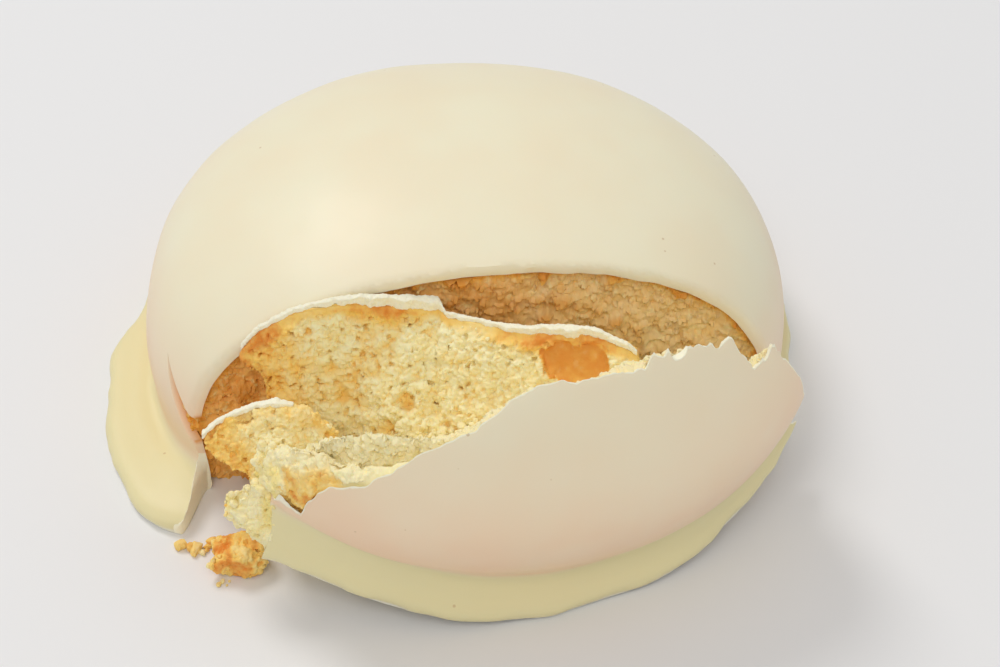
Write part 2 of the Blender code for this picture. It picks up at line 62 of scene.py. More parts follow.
# where the front part lies: its turns about x, y and z, z first and y last, and its shift
frontPlace = {"turn": (28.8, 11.3, 12.0), "shift": (1.7, -7.9, 18.15)}


def lottery(cells, seed):
    # one number from 0 to 1 for each lattice cell: its whole-number coordinates mixed together
    h = cells[..., 0] * 374761393 + cells[..., 1] * 668265263 + cells[..., 2] * 974634777 + seed * 1274126177
    h = h & 0xFFFFFFFF
    h = ((h ^ (h >> 13)) * 1103515245) & 0xFFFFFFFF
    return ((h ^ (h >> 16)) & 0xFFFFFF) / 16777216.0


def softNoise(points, size, seed):
    # random heights on a cubic lattice of that size, blended smoothly between the eight corners, -1 to 1
    p = points / size
    cell = np.floor(p).astype(np.int64)
    t = p - cell
    t = t * t * t * (t * (t * 6.0 - 15.0) + 10.0)
    total = 0.0
    for corner in np.ndindex(2, 2, 2):
        weight = np.prod(np.where(np.array(corner) == 1, t, 1.0 - t), axis=-1)
        total = total + weight * lottery(cell + np.array(corner), seed)
    return 2.0 * total - 1.0


def cellNoise(points, size, seed):
    # one random point in each lattice cell: distance to the nearest one in cell sizes, and its own number
    p = points / size
    cell = np.floor(p).astype(np.int64)
    nearest = np.full(p.shape[:-1], 9.0)
    number = np.zeros(p.shape[:-1])
    for offset in np.ndindex(3, 3, 3):
        there = cell + np.array(offset) - 1
        spot = there + np.stack([lottery(there, seed + k) for k in range(3)], -1)
        distance = np.linalg.norm(p - spot, axis=-1)
        closer = distance < nearest
        nearest = np.where(closer, distance, nearest)
        number = np.where(closer, lottery(there, seed + 3), number)
    return nearest, number


def spotAt(x, y, z):
    # points from three coordinates, of which some may be single numbers
    return np.stack(np.broadcast_arrays(x, y, z), -1)


def ripples(points, looks):
    # noises added up: size, height and seed of each
    return sum(height * softNoise(points, size, seed) for size, height, seed in looks)


def smoothStep(low, high, x):
    # 0 at low, 1 at high, level at both ends
    t = np.clip((x - low) / (high - low), 0.0, 1.0)
    return t * t * (3.0 - 2.0 * t)


def alongLine(x, table, column=1):
    # value between the rows of a table whose first column is x
    return np.interp(x, [row[0] for row in table], [row[column] for row in table])


# torn crumb, in mm. swells, lumps and grit: size, height and seed. holes, which are small pores and wide
# pits: size, depth, share of the cells that have one, and seed. waver, which bends them all: size, reach
# and seeds
crumbLook = {"swells": ((4.2, 0.5, 51),), "lumps": ((1.7, 0.42, 21), (0.78, 0.34, 31)),
             "grit": (0.38, 0.24, 36),
             "holes": ((0.8, 0.5, 0.42, 26), (3.1, 0.95, 0.3, 41)), "holeEdge": (0.42, 0.18),
             "waver": (0.8, 0.3, (11, 12, 13))}


def rounded(points, size, height, seed):
    # lumps with round tops and sharp valleys, from the distance to the nearest cell point
    distance, _ = cellNoise(points, size, seed)
    return height * (0.5 - 1.6 * distance ** 2)


def crumbHeight(points):
    # height of the relief: swells and lumps added up, and a hole taken out of each cell whose number passes
    # 1 - share
    size, reach, seeds = crumbLook["waver"]
    bent = points + reach * np.stack([softNoise(points, size, seed) for seed in seeds], -1)
    total = ripples(points, crumbLook["swells"])
    for size, height, seed in crumbLook["lumps"]:
        total = total + rounded(bent, size, height, seed)
    for size, depth, share, seed in crumbLook["holes"]:
        distance, number = cellNoise(bent, size, seed)
        hole = smoothStep(*crumbLook["holeEdge"], distance) * smoothStep(0.9 - share, 1.1 - share, number)
        total = total - depth * hole
    return total


def grit(points):
    # finest lumps of the crumb
    return rounded(points, *crumbLook["grit"])


def byAngle(table, phi):
    # value at a plan angle from a closed table of degrees and values, rounded off by a short average
    degrees = [a for a, _ in table]
    values = [v for _, v in table]
    total = 0.0
    for shift in (-4.0, -2.0, 0.0, 2.0, 4.0):
        angle = (np.degrees(phi) + shift) % 360.0
        total = total + np.interp(angle, degrees + [degrees[0] + 360.0], values + [values[0]])
    return total / 5.0


def planPoint(phi, inset=0.0):
    # superellipse |x/a|^p + |y/b|^p = 1, moved in by inset
    c, s = np.cos(phi), np.sin(phi)
    power = cake["planPower"]
    reach = (abs(c) ** power + abs(s) ** power) ** (-1.0 / power)
    return (cake["halfLength"] - inset) * reach * c, (cake["halfDepth"] - inset) * reach * s


def planShare(x, y, inset=0.0):
    # the superellipse's radius at x, y, 1 on the plan's edge
    power = cake["planPower"]
    return (abs(x / (cake["halfLength"] - inset)) ** power
            + abs(y / (cake["halfDepth"] - inset)) ** power) ** (1.0 / power)


def cutY(x):
    # the straight cut
    return cake["cutAtCentre"] + cake["cutSlope"] * x


def domeZ(x, y, inset=0.0):
    # height of the dome over a point of the plan: (1 - radius^q)^(1/q) of the rise
    bulge = cake["profilePower"]
    lift = np.maximum(1.0 - planShare(x, y, inset) ** bulge, 0.0) ** (1.0 / bulge)
    return cake["widestLevel"] + (cake["domeRise"] - inset) * lift


def fromMiddle(points):
    # vector from the dome's middle at the widest level; below that level from the upright axis
    rise = np.maximum(points[..., 2] - cake["widestLevel"], 0.0)
    return np.stack([points[..., 0], points[..., 1], rise], -1)


def unit(arms):
    # vectors made 1 mm long; those that are shorter stay as they are
    return arms / np.maximum(np.linalg.norm(arms, axis=-1, keepdims=True), 1.0)


def skinDepth(points, inset=0.0):
    # distance below the dome's skin, measured towards its middle
    arm = fromMiddle(points)
    bulge = cake["profilePower"]
    share = (planShare(arm[..., 0], arm[..., 1], inset) ** bulge
             + (arm[..., 2] / (cake["domeRise"] - inset)) ** bulge) ** (1.0 / bulge)
    return np.linalg.norm(arm, axis=-1) * (1.0 / np.maximum(share, 0.05) - 1.0)


def domeRows(phi, inset, count):
    # rings of the dome: height sin^(2/q) and radius cos^(2/q) of an angle that runs from the widest level up
    x, y = planPoint(phi, inset)
    rows = []
    for angle in np.linspace(0.0, 0.5 * math.pi, count + 1)[:-1]:
        rho = math.cos(angle) ** (2.0 / cake["profilePower"])
        lift = math.sin(angle) ** (2.0 / cake["profilePower"])
        rows.append(spotAt(rho * x, rho * y, cake["widestLevel"] + (cake["domeRise"] - inset) * lift))
    rows.append(spotAt(0 * x, 0 * y, cake["widestLevel"] + cake["domeRise"] - inset))
    return rows


def throughRings(rings, steps):
    # Catmull-Rom: between two rings a cubic that leaves each along the line between its neighbours
    rows = []
    for a, b, c, d in zip(rings, rings[1:], rings[2:], rings[3:]):
        for t in np.arange(steps) / steps:
            rows.append(0.5 * (2 * b + (c - a) * t + (2 * a - 5 * b + 4 * c - d) * t ** 2
                               + (3 * b - a - 3 * c + d) * t ** 3))
    return rows


def outerRows(around, domeCount, footSteps):
    # iced outside from the middle of the base: flat base, foot, crease, wall and dome
    phi = np.linspace(0.0, 2.0 * math.pi, around, endpoint=False)
    x, y = planPoint(phi)
    length = np.hypot(x, y)
    width = byAngle(footWidth, phi)
    crease = byAngle(creaseHeight, phi)
    rim = cake["rimHeight"]

    def ring(share, height):
        # share 0 is the wall at the crease, 1 the foot's outermost line
        scale = 1.0 + (share * width - cake["creaseDraw"] * (1.0 - share)) / length
        return spotAt(x * scale, y * scale, height)
    dome = domeRows(phi, 0.0, domeCount)
    rings = [ring(0.80, 0.0), ring(0.93, 0.0), ring(1.0, 0.5 * rim), ring(0.88, rim),
             ring(0.40, rim + 0.35 * (crease - rim)), ring(0.0, crease), dome[0],
             domeRows(phi, 0.0, 10)[1]]
    flat = [ring(0.93, 0.0) * scale for scale in (0.0, 0.5, 0.9)]
    return np.array(flat + throughRings(rings, footSteps) + dome)


def innerRows(inset, bottom, around, domeCount):
    # the same dome moved in by inset, with a straight wall down to bottom
    phi = np.linspace(0.0, 2.0 * math.pi, around, endpoint=False)
    x, y = planPoint(phi, inset + cake["creaseDraw"])
    low = [spotAt(share * x, share * y, bottom) for share in (0.0, 0.35, 0.7, 1.0)]
    levels = np.linspace(max(bottom, 0.0) + 0.6, 0.4 * cake["widestLevel"], 4)
    wall = [spotAt(x, y, level) for level in levels]
    return np.array(low + wall + domeRows(phi, inset, domeCount))


def newMesh(name, points, faces):
    # closed mesh with its faces turned outwards
    mesh = bpy.data.meshes.new(name)
    mesh.from_pydata(points.tolist(), [], faces)
    tool = bmesh.new()
    tool.from_mesh(mesh)
    bmesh.ops.recalc_face_normals(tool, faces=tool.faces)
    tool.to_mesh(mesh)
    tool.free()
    piece = bpy.data.objects.new(name, mesh)
    bpy.context.scene.collection.objects.link(piece)
    return piece


def ringSolid(name, rows):
    # closed body from rings; its first and last ring are single points
    count, around = rows.shape[:2]
    points = np.concatenate([rows[0, :1], rows[1:-1].reshape(-1, 3), rows[-1, :1]])
    k, j = np.meshgrid(np.arange(count - 3), np.arange(around), indexing="ij")
    here = 1 + k * around + j
    beside = 1 + k * around + (j + 1) % around
    quads = np.stack([here, beside, beside + around, here + around], -1).reshape(-1, 4)
    j = np.arange(around)
    after = (j + 1) % around
    last = 1 + (count - 3) * around
    low = np.stack([0 * j, 1 + after, 1 + j], -1)
    high = np.stack([last + j, last + after, 0 * j + len(points) - 1], -1)
    return newMesh(name, points, quads.tolist() + low.tolist() + high.tolist())


def sheetSolid(name, front, back):
    # closed slab between two grids of the same size
    columns, rows = front.shape[:2]
    points = np.concatenate([front.reshape(-1, 3), back.reshape(-1, 3)])
    offset = columns * rows
    k, j = np.meshgrid(np.arange(columns - 1), np.arange(rows - 1), indexing="ij")
    here = k * rows + j
    quads = np.stack([here, here + rows, here + rows + 1, here + 1], -1).reshape(-1, 4)
    faces = quads.tolist() + (quads[:, ::-1] + offset).tolist()
    rim = np.concatenate([np.arange(columns) * rows, (columns - 1) * rows + np.arange(1, rows),
                          np.arange(columns - 2, -1, -1) * rows + rows - 1, np.arange(rows - 2, 0, -1)])
    after = np.roll(rim, -1)
    faces += np.stack([after, rim, rim + offset, after + offset], -1).tolist()
    return newMesh(name, points, faces)


def grid(columns, rows):
    # u and v from 0 to 1 over a sheet
    return np.meshgrid(np.linspace(0, 1, columns + 1), np.linspace(0, 1, rows + 1), indexing="ij")


# how far the cutters reach along x, y and z, and where their far sides lie
wide = (-44.0, 44.0)
deep = (-46.0, 10.0)
high = (-6.0, 40.0)
far = 60.0


def block(name, height, end, across, up, pitch=0.5, axis="y"):
    # cutter: a box between the sheet y = height(x, z), or x = height(y, z), and the flat side y or x = end
    u, v = grid(round((across[1] - across[0]) / pitch), round((up[1] - up[0]) / pitch))
    u = across[0] + (across[1] - across[0]) * u
    v = up[0] + (up[1] - up[0]) * v

    def place(h):
        return np.stack([u, h, v] if axis == "y" else [h, u, v], -1)
    return sheetSolid(name, place(height(u, v)), place(end + 0 * u))


def flatAt(level):
    # a flat near side for a cutter
    return lambda a, b: level + 0 * a


def applyModifiers(piece):
    bpy.context.view_layer.update()
    graph = bpy.context.evaluated_depsgraph_get()
    result = bpy.data.meshes.new_from_object(piece.evaluated_get(graph))
    piece.modifiers.clear()
    piece.data = result


def carve(target, other, operation="DIFFERENCE", keep=False):
    # one Boolean, applied at once
    modifier = target.modifiers.new("carve", "BOOLEAN")
    modifier.operation = operation
    modifier.solver = "MANIFOLD"
    modifier.object = other
    applyModifiers(target)
    if not keep:
        bpy.data.objects.remove(other)


def largestPart(piece):
    # loose scraps that the cuts leave are dropped
    bpy.ops.object.select_all(action="DESELECT")
    bpy.context.view_layer.objects.active = piece
    piece.select_set(True)
    bpy.ops.mesh.separate(type="LOOSE")
    parts = sorted(bpy.context.selected_objects, key=lambda o: len(o.data.polygons))
    for scrap in parts[:-1]:
        bpy.data.objects.remove(scrap)
    return parts[-1]


def evenFaces(piece, pitch):
    # the body rebuilt with faces of one size, which rounds its edges by about as much
    modifier = piece.modifiers.new("even", "REMESH")
    modifier.mode = "VOXEL"
    modifier.voxel_size = pitch
    applyModifiers(piece)


def readPoints(piece):
    flat = np.empty(3 * len(piece.data.vertices))
    piece.data.vertices.foreach_get("co", flat)
    return flat.reshape(-1, 3)


def readNormals(piece):
    flat = np.empty(3 * len(piece.data.vertices))
    piece.data.vertex_normals.foreach_get("vector", flat)
    return flat.reshape(-1, 3)


def writePoints(piece, points):
    piece.data.vertices.foreach_set("co", points.ravel())
    piece.data.update()


def pushOut(piece, distance):
    # each vertex moved along its normal
    writePoints(piece, readPoints(piece) + distance[:, None] * readNormals(piece))


def crumble(piece, pitch, hold=None, reach=1.0):
    # crumb on all sides: even faces, pushed out by the relief as far as hold lets them, then by the grit
    # along the new normals; gives back how deep each vertex lies in a hollow, 0 to 1
    evenFaces(piece, pitch)
    points = readPoints(piece)
    share = reach * (hold(points) if hold else np.ones(len(points)))
    height = crumbHeight(points)
    pushOut(piece, share * height)
    fine = grit(readPoints(piece))
    pushOut(piece, share * fine)
    # this hollow depth is what the crumb material paints as warm shade
    hollowness = np.maximum(smoothStep(0.05, -0.8, height), 0.6 * smoothStep(0.02, -0.2, fine))
    return hollowness * np.minimum(share, 1.0)


def mark(piece, **values):
    # numbers for each vertex that the materials read
    for name, numbers in values.items():
        layer = piece.data.attributes.new(name, "FLOAT", "POINT")
        spread = np.broadcast_to(np.clip(numbers, 0.0, 1.0), len(piece.data.vertices))
        layer.data.foreach_set("value", spread.astype(np.float32))


tip, roll, swing = (math.radians(angle) for angle in frontPlace["turn"])
frontTurn = np.array(Euler((0, roll, 0)).to_matrix() @ Euler((tip, 0, 0)).to_matrix()
                     @ Euler((0, 0, swing)).to_matrix())


def toFront(points):
    # from the whole cake's place to where the front part lies now
    return points @ frontTurn.T + np.array(frontPlace["shift"])


lowest = 0.02         # nothing comes closer to the floor


def finishPiece(piece, name, node, finish, inFront=False, sharp=40.0):
    # place in metres, smooth shading, material and its ties to the frame
    points = readPoints(piece)
    if inFront:
        points = toFront(points)
    points[:, 2] = np.maximum(points[:, 2], lowest)
    writePoints(piece, points * mm)
    piece.name = name
    piece.data.name = name
    piece.data.materials.clear()
    piece.data.materials.append(finish)
    piece.data.shade_smooth()
    piece.data.set_sharp_from_angle(angle=math.radians(sharp))
    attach(piece, "root")
    if node:
        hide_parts(node)
    print(name, len(piece.data.polygons), "faces")


def colour(red, green, blue):
    # screen values from 0 to 255 turned into linear light
    shares = np.array((red, green, blue)) / 255.0
    linear = np.where(shares <= 0.04045, shares / 12.92, ((shares + 0.055) / 1.055) ** 2.4)
    return (*linear.tolist(), 1.0)


class Wire:
    # a node's output that sums are written on: each operator adds its Math node
    def __init__(self, finish, socket):
        self.finish = finish
        self.socket = socket

    def maths(self, operation, first, second):
        return self.finish.node("ShaderNodeMath", {"operation": operation}, {0: first, 1: second})

    def __add__(self, other):
        return self.maths("ADD", self, other)

    def __radd__(self, other):
        return self.maths("ADD", other, self)

    def __sub__(self, other):
        return self.maths("SUBTRACT", self, other)

    def __rsub__(self, other):
        return self.maths("SUBTRACT", other, self)

    def __mul__(self, other):
        return self.maths("MULTIPLY", self, other)

    def __rmul__(self, other):
        return self.maths("MULTIPLY", other, self)


class Finish:
    # one material: fixed values go on the shader's own sockets, the rest is added node by node
    def __init__(self, name, **fixed):
        self.material = bpy.data.materials.new(name)
        self.material.use_nodes = True
        self.tree = self.material.node_tree
        self.shader = self.tree.nodes["Principled BSDF"]
        for socket, value in fixed.items():
            self.shader.inputs[socket.replace("_", " ")].default_value = value

    def connect(self, socket, value):
        if isinstance(value, Wire):
            self.tree.links.new(value.socket, socket)
        else:
            socket.default_value = value

    def node(self, kind, settings=None, values=None, output=0):
        made = self.tree.nodes.new(kind)
        for key, value in (settings or {}).items():
            setattr(made, key, value)
        for key, value in (values or {}).items():
            self.connect(made.inputs[key], value)
        return Wire(self, made.outputs[output])

    def attribute(self, name):
        return self.node("ShaderNodeAttribute", {"attribute_name": name}, output="Fac")

    def noise(self, size, detail=2.0, roughness=0.5):
        # even noise on Object coordinates; size is that of its features in mm
        place = self.node("ShaderNodeTexCoord", output="Object")
        return self.node("ShaderNodeTexNoise", None, {"Vector": place, "Scale": 1.0 / (size * mm),
                                                      "Detail": detail, "Roughness": roughness})

    def cells(self, size):
        # distance to the nearest cell point, in cell sizes; size is that of a cell in mm
        place = self.node("ShaderNodeTexCoord", output="Object")
        return self.node("ShaderNodeTexVoronoi", None, {"Vector": place, "Scale": 1.0 / (size * mm)})

    def ramp(self, value, low, high, least=0.0, most=1.0):
        # smooth step of value from low to high, onto least to most
        return self.node("ShaderNodeMapRange", {"interpolation_type": "SMOOTHSTEP"},
                         {"Value": value, "From Min": low, "From Max": high, "To Min": least, "To Max": most})

    def blend(self, share, first, second):
        return self.node("ShaderNodeMix", {"data_type": "RGBA"}, {0: share, 6: first, 7: second}, 2)

    def bump(self, height, distance, strength=1.0):
        return self.node("ShaderNodeBump", None,
                         {"Height": height, "Distance": distance * mm, "Strength": strength})

    def use(self, **wires):
        for socket, value in wires.items():
            self.connect(self.shader.inputs[socket.replace("_", " ")], value)
        return self.material


# colours as screen values
icingTints = {
    "cream": (243, 236, 207), "warm": (243, 231, 200), "blush": (247, 212, 178), "foot": (234, 223, 174),
    "edge": (255, 250, 224), "rim": (243, 238, 220), "stain": (226, 156, 84), "speck": (196, 160, 106),
}
crumbTints = {
    "pale": (255, 238, 178), "light": (255, 245, 198), "golden": (255, 207, 98), "crust": (234, 147, 60),
    "deep": (250, 178, 70), "shadedHollowTint": (214, 140, 56), "peach": (255, 221, 148), "white": (255, 242, 194),
    "yellow": (250, 228, 138),
}


def icingFinish(name, matte=False):
    # cream that goes warm in patches; blush, foot and rim by their marks; broken edges pale, the crack's
    # sides stained, a few fine specks; a soft gloss, or matte and rough for broken strips
    tint = {key: colour(*value) for key, value in icingTints.items()}
    finish = Finish(name, Subsurface_Weight=0.12, Subsurface_Scale=0.5 * mm,
                    Subsurface_Radius=(1.0, 0.8, 0.55), Specular_IOR_Level=0.36)
    base = finish.blend(finish.ramp(finish.noise(14.0), 0.3, 0.7), tint["cream"], tint["warm"])
    base = finish.blend(finish.attribute("blush") * finish.ramp(finish.noise(9.0), 0.25, 0.7, 0.7, 1.0),
                        base, tint["blush"])
    base = finish.blend(finish.attribute("foot"), base, tint["foot"])
    # painted light: the foot's lowest edge is whiter, as if lit from below
    base = finish.blend(finish.attribute("rim"), base, tint["rim"])
    # the edge mark is 1 at a break and falls away from it
    broken = finish.ramp(finish.attribute("edge") + (finish.noise(0.9, 2.0) - 0.5) * 0.14, 0.9, 0.96)
    base = finish.blend(broken, base, tint["edge"])
    base = finish.blend(finish.attribute("stain"), base, tint["stain"])
    base = finish.blend(finish.ramp(finish.cells(5.0), 0.04, 0.025, 0.0, 0.5), base, tint["speck"])
    fine = finish.noise(0.5, 3.0, 0.6)
    if matte:
        normal = finish.bump(finish.noise(0.35, 3.0, 0.7), 0.2, 0.6)
        rough = finish.ramp(fine, 0.3, 0.7, 0.62, 0.75)
    else:
        normal = finish.bump(fine + broken * finish.noise(0.3, 2.0) * 6.0, 0.018, 0.5)
        rough = finish.ramp(finish.noise(6.0), 0.3, 0.7, 0.38, 0.46) + broken * 0.25
    return finish.use(Base_Color=base, Roughness=rough, Normal=normal)


def crumbFinish(name):
    # pale and light crumb in patches, golden in its hollows as painted warm shade; golden to brown by the
    # crust mark; painted deeper colours in the shade of the cut, darker still in its hollows; whiter crumb,
    # which on the front part is partly painted light, and yellower crumb by their marks
    tint = {key: colour(*value) for key, value in crumbTints.items()}
    finish = Finish(name, Subsurface_Weight=0.2, Subsurface_Scale=0.4 * mm,
                    Subsurface_Radius=(1.0, 0.75, 0.4), Specular_IOR_Level=0.3)
    base = finish.blend(finish.ramp(finish.noise(1.6, 3.0), 0.35, 0.65), tint["pale"], tint["light"])
    base = finish.blend(finish.ramp(finish.noise(4.5, 2.0), 0.52, 0.72, 0.0, 0.2), base, tint["golden"])
    # painted warm shade: golden deepens the crumb's hollows
    base = finish.blend(finish.attribute("pit") * 0.7, base, tint["golden"])
    crust = finish.attribute("crust")
    patchy = crust + (finish.noise(2.6, 3.0, 0.6) - 0.5) * 0.9
    base = finish.blend(finish.ramp(patchy, 0.2, 0.75, 0.0, 0.85), base, tint["golden"])
    browned = finish.ramp(patchy + (finish.noise(0.8, 2.0) - 0.5) * 0.5, 0.62, 1.15)
    base = finish.blend(browned, base, tint["crust"])
    shade = finish.attribute("shade")
    lumps = finish.ramp(finish.noise(1.1, 2.0), 0.55, 0.68, 0.0, 0.8)
    base = finish.blend(shade, base, finish.blend(lumps, tint["deep"], tint["peach"]))
    # painted shade: darker still in the hollows of the shaded cut
    base = finish.blend(shade * finish.attribute("pit"), base, tint["shadedHollowTint"])
    # whiter crumb by its mark: the own pale colour of the broken foot and small crumbs, and on the front
    # part's crumb painted light that brightens it in the slab's shade
    base = finish.blend(finish.attribute("white"), base, tint["white"])
    base = finish.blend(finish.attribute("foot") * 0.75, base, tint["yellow"])
    fine = finish.noise(0.25, 3.0, 0.65)
    rough = finish.ramp(finish.noise(0.8), 0.3, 0.7, 0.7, 0.9) - shade * 0.45
    return finish.use(Base_Color=base, Roughness=rough, Normal=finish.bump(fine, 0.12, 0.7))


smoothIcing = icingFinish("pouredIcing")
brokenIcing = icingFinish("brokenIcing", matte=True)
crumb = crumbFinish("crumb")

# the standing part
backPart = {"columns": 360, "domeRows": 84, "footSteps": 5, "cutPitch": 0.4, "crumbPitch": 0.2,
            "edgeRadius": 0.45,
            # how far its crumb lies behind the cut, how many times the usual its relief is there, and how
            # far behind the face the grit fades
            "recess": 0.9, "relief": 1.2, "gritFade": (1.6, 1.0),
            # unevenness of the cut through the icing: size, height and seed
            "wander": ((2.5, 0.2, 71), (0.9, 0.05, 72)),
            # lobe of the foot in front of the cut: how far it reaches, and the x and z over which it fades
            "lobe": (6.6, (-27.0, -29.5), (4.2, 2.6)),
            # its marked end: the x and z over which it fades, and how far behind the break
            "lobeMark": ((-23.0, -25.0), (6.0, 5.0), (0.6, 0.1)),
            # crack through the left wall: y and z of its peak and of its two ends at the cut, its two x, the
            # waver of its sides, how far the sponge bulges in it and up to which x
            "crackPeak": (-13.6, 14.3), "crackEnds": ((-21.2, 5.0), (-21.2, 9.4)), "crackX": (-42.6, -20.8),
            "crackWaver": ((1.0, 0.25, 75),), "crackBulge": 0.85, "bulgeEnd": -20.0,
            # shade on its crumb: x, strength; height up to which its icing blushes
            "shade": ((-10.0, 0.85), (10.0, 0.38)), "blushTop": 19.0}


def poured(points):
    # swells push the icing out along the line from the origin, more at the foot; the base stays flat
    z = points[..., 2]
    foot = smoothStep(*cake["footLevels"], z)
    swell = ripples(points, cake["swells"]) + foot * ripples(points, cake["footSwells"])
    return points + unit(points) * (swell * smoothStep(0.0, 0.6, z))[..., None] * np.array((1.0, 1.0, 0.6))


def softenEdge(points, behind, inward, radius):
    # rounds the icing's edge at a break: the depths under the skin and behind the break are drawn onto the
    # quarter circle whose middle lies one radius inside both
    under = np.clip(radius - skinDepth(points), 0.0, radius)
    back = np.clip(radius - behind, 0.0, radius)
    crease = byAngle(creaseHeight, np.arctan2(points[:, 1], points[:, 0]))
    share = 1.0 - radius / np.maximum(np.hypot(under, back), radius)
    share = share * smoothStep(0.0, 1.5, points[:, 2] - crease)
    moved = points - unit(fromMiddle(points)) * (share * under)[:, None]
    moved[:, 1] += inward * share * back
    return moved


def markIcing(piece, blushTop, edge=0.0, stain=0.0):
    # foot: below the crease. blush: shoulders and wall, where the icing is thin. rim: the foot's lowest
    # edge, painted whiter as light bounced up from below
    points = readPoints(piece)
    z = points[:, 2]
    above = z - byAngle(creaseHeight, np.arctan2(points[:, 1], points[:, 0]))
    blush = smoothStep(blushTop, 7.0, z) * smoothStep(-0.8, 0.8, above)
    mark(piece, foot=smoothStep(0.5, -0.6, above), blush=blush, rim=smoothStep(0.9, 0.25, z), edge=edge,
         stain=stain)


def flatRelief(y):
    # crumb relief of an upright face, read in the plane y
    return lambda x, z: crumbHeight(spotAt(x, y, z))


def crustByDepth(points):
    # browned skin: full at the sponge's outside, gone 1.7 mm in
    return smoothStep(1.7, 0.1, skinDepth(points, spongeInset))


def backFace(x, z):
    # the cut face of the crumb: a little behind the cut, with its relief
    return cutY(x) + backPart["recess"] + backPart["relief"] * flatRelief(0.0)(x, z)


def backEdge(x, z):
    # straight cut through the icing, wavering a little; at the far left the foot runs on in front of it
    reach, fadeX, fadeZ = backPart["lobe"]
    waver = ripples(spotAt(x, 9.0, 0.6 * z), backPart["wander"])
    return cutY(x) + waver - reach * smoothStep(*fadeX, x) * smoothStep(*fadeZ, z)


def crackWedge():
    # wedge through the left wall: a triangle from the crack's peak to its two ends at the cut, drawn along x
    peak = np.array(backPart["crackPeak"])
    low, top = (np.array(end) for end in backPart["crackEnds"])
    u, v = grid(39, 3)
    u = 0.01 + 0.99 * u
    waver = ripples(spotAt(9 * u, 3 * v, 0.0), backPart["crackWaver"])
    spot = peak + (low + (top - low) * v[..., None] - peak) * u[..., None] + (waver * u)[..., None]

    def sheet(x):
        return spotAt(x, spot[..., 0], spot[..., 1])
    first, last = backPart["crackX"]
    return sheetSolid("crack", sheet(first), sheet(last))


def inCrack(points, margin):
    # 1 between the wedge's two sides, 0 beyond the margin outside them
    peak = backPart["crackPeak"]
    low, top = backPart["crackEnds"]
    along = (peak[0] - points[:, 1]) / (peak[0] - low[0])
    bottom = peak[1] + (low[1] - peak[1]) * along
    roof = peak[1] + (top[1] - peak[1]) * along
    outside = np.maximum(bottom - points[:, 2], points[:, 2] - roof)
    share = smoothStep(margin, 0.0, outside) * smoothStep(-0.05, 0.0, along)
    return share * (points[:, 0] < backPart["bulgeEnd"])


icing = ringSolid("backIcing", outerRows(backPart["columns"], backPart["domeRows"], backPart["footSteps"]))
hollow = ringSolid("hollow", innerRows(cake["icing"], -3.0, 240, 60))
carve(icing, hollow, keep=True)
carve(icing, crackWedge())
carve(icing, block("cut", backEdge, -far, wide, high, backPart["cutPitch"]))
icing = largestPart(icing)
points = readPoints(icing)
stain = inCrack(points, 0.6) * smoothStep(0.05, 0.4, skinDepth(points))
behind = points[:, 1] - backEdge(points[:, 0], points[:, 2])
writePoints(icing, poured(softenEdge(points, behind, 1.0, backPart["edgeRadius"])))
lobeX, lobeZ, lobeDepth = backPart["lobeMark"]
lobe = smoothStep(*lobeX, points[:, 0]) * smoothStep(*lobeZ, points[:, 2]) * smoothStep(*lobeDepth, behind)
markIcing(icing, backPart["blushTop"], edge=lobe, stain=stain)
finishPiece(icing, "backIcing", "icing_back", smoothIcing)

sponge = ringSolid("backSponge", innerRows(spongeInset, 0.0, 260, 60))
carve(sponge, block("cut", backFace, -far, wide, high, backPart["crumbPitch"]))
sponge = largestPart(sponge)
points = readPoints(sponge)
points[:, 0] -= backPart["crackBulge"] * inCrack(points, 0.4)
writePoints(sponge, points)
hollowness = smoothStep(0.05, -0.85, flatRelief(0.0)(points[:, 0], points[:, 2]))
torn = smoothStep(*backPart["gritFade"], points[:, 1] - backFace(points[:, 0], points[:, 2]))
pushOut(sponge, torn * grit(points))
shade = alongLine(points[:, 0], backPart["shade"])
mark(sponge, crust=crustByDepth(points), pit=torn * hollowness, shade=shade, white=0.0)
finishPiece(sponge, "backSponge", "sponge_back", crumb)
print("standing part done")

# the part broken forward
frontPart = {"columns": 360, "domeRows": 84, "footSteps": 5, "edgePitch": 0.3, "edgeRadius": 0.3,
             "blushTop": 30.0,
             # teeth of the torn edge, its spikes, and the x over which the spikes grow and fade
             "teeth": ((1.7, 0.24, 81), (0.7, 0.176, 82)), "spikes": ((1.9, 1.5, 112), (0.7, 0.8, 113)),
             "spikesX": ((3.0, 13.0), (27.5, 24.0)),
             # at the left corner the low icing reaches back: how far, and the z and x over which it grows
             "corner": (1.8, (8.6, 7.4), (-19.5, -21.0)),
             # break through the foot's left end: x, the y where it has that x, its growth with y, its most
             "footBreak": (-25.0, -26.5, 0.42, -24.6), "footWaver": ((0.9, 0.12, 83),), "footPitch": 0.3}
# its crumb is full where the icing covers it, and draws back behind the torn edge to a lower, bare face
frontCrumb = {"pitch": 0.22, "relief": 1.25, "leftEnd": -25.2, "bareDepth": 1.3,
              # its rear lies in front of the cut by this much below, and comes forward to the bare band over
              # these z; the band is this wide at least, and has this besides, which fades over these x
              "breakDraw": 1.2, "breakZ": (6.0, 20.0), "bareLeast": 0.35, "bareWidth": 4.4,
              "bareX": (-19.0, -6.0),
              # the full crumb ends this far behind the torn edge, and this far in front of the rear at least
              "coverLap": 0.1, "coverStep": 0.25,
              # the loose pieces keep this far behind it, and this far to its left
              "room": 0.4, "roomLeft": 1.9,
              # browned corner: its x and reach, and the height where it begins
              "brownCorner": (-22.4, 3.6), "brownLevel": 4.0}


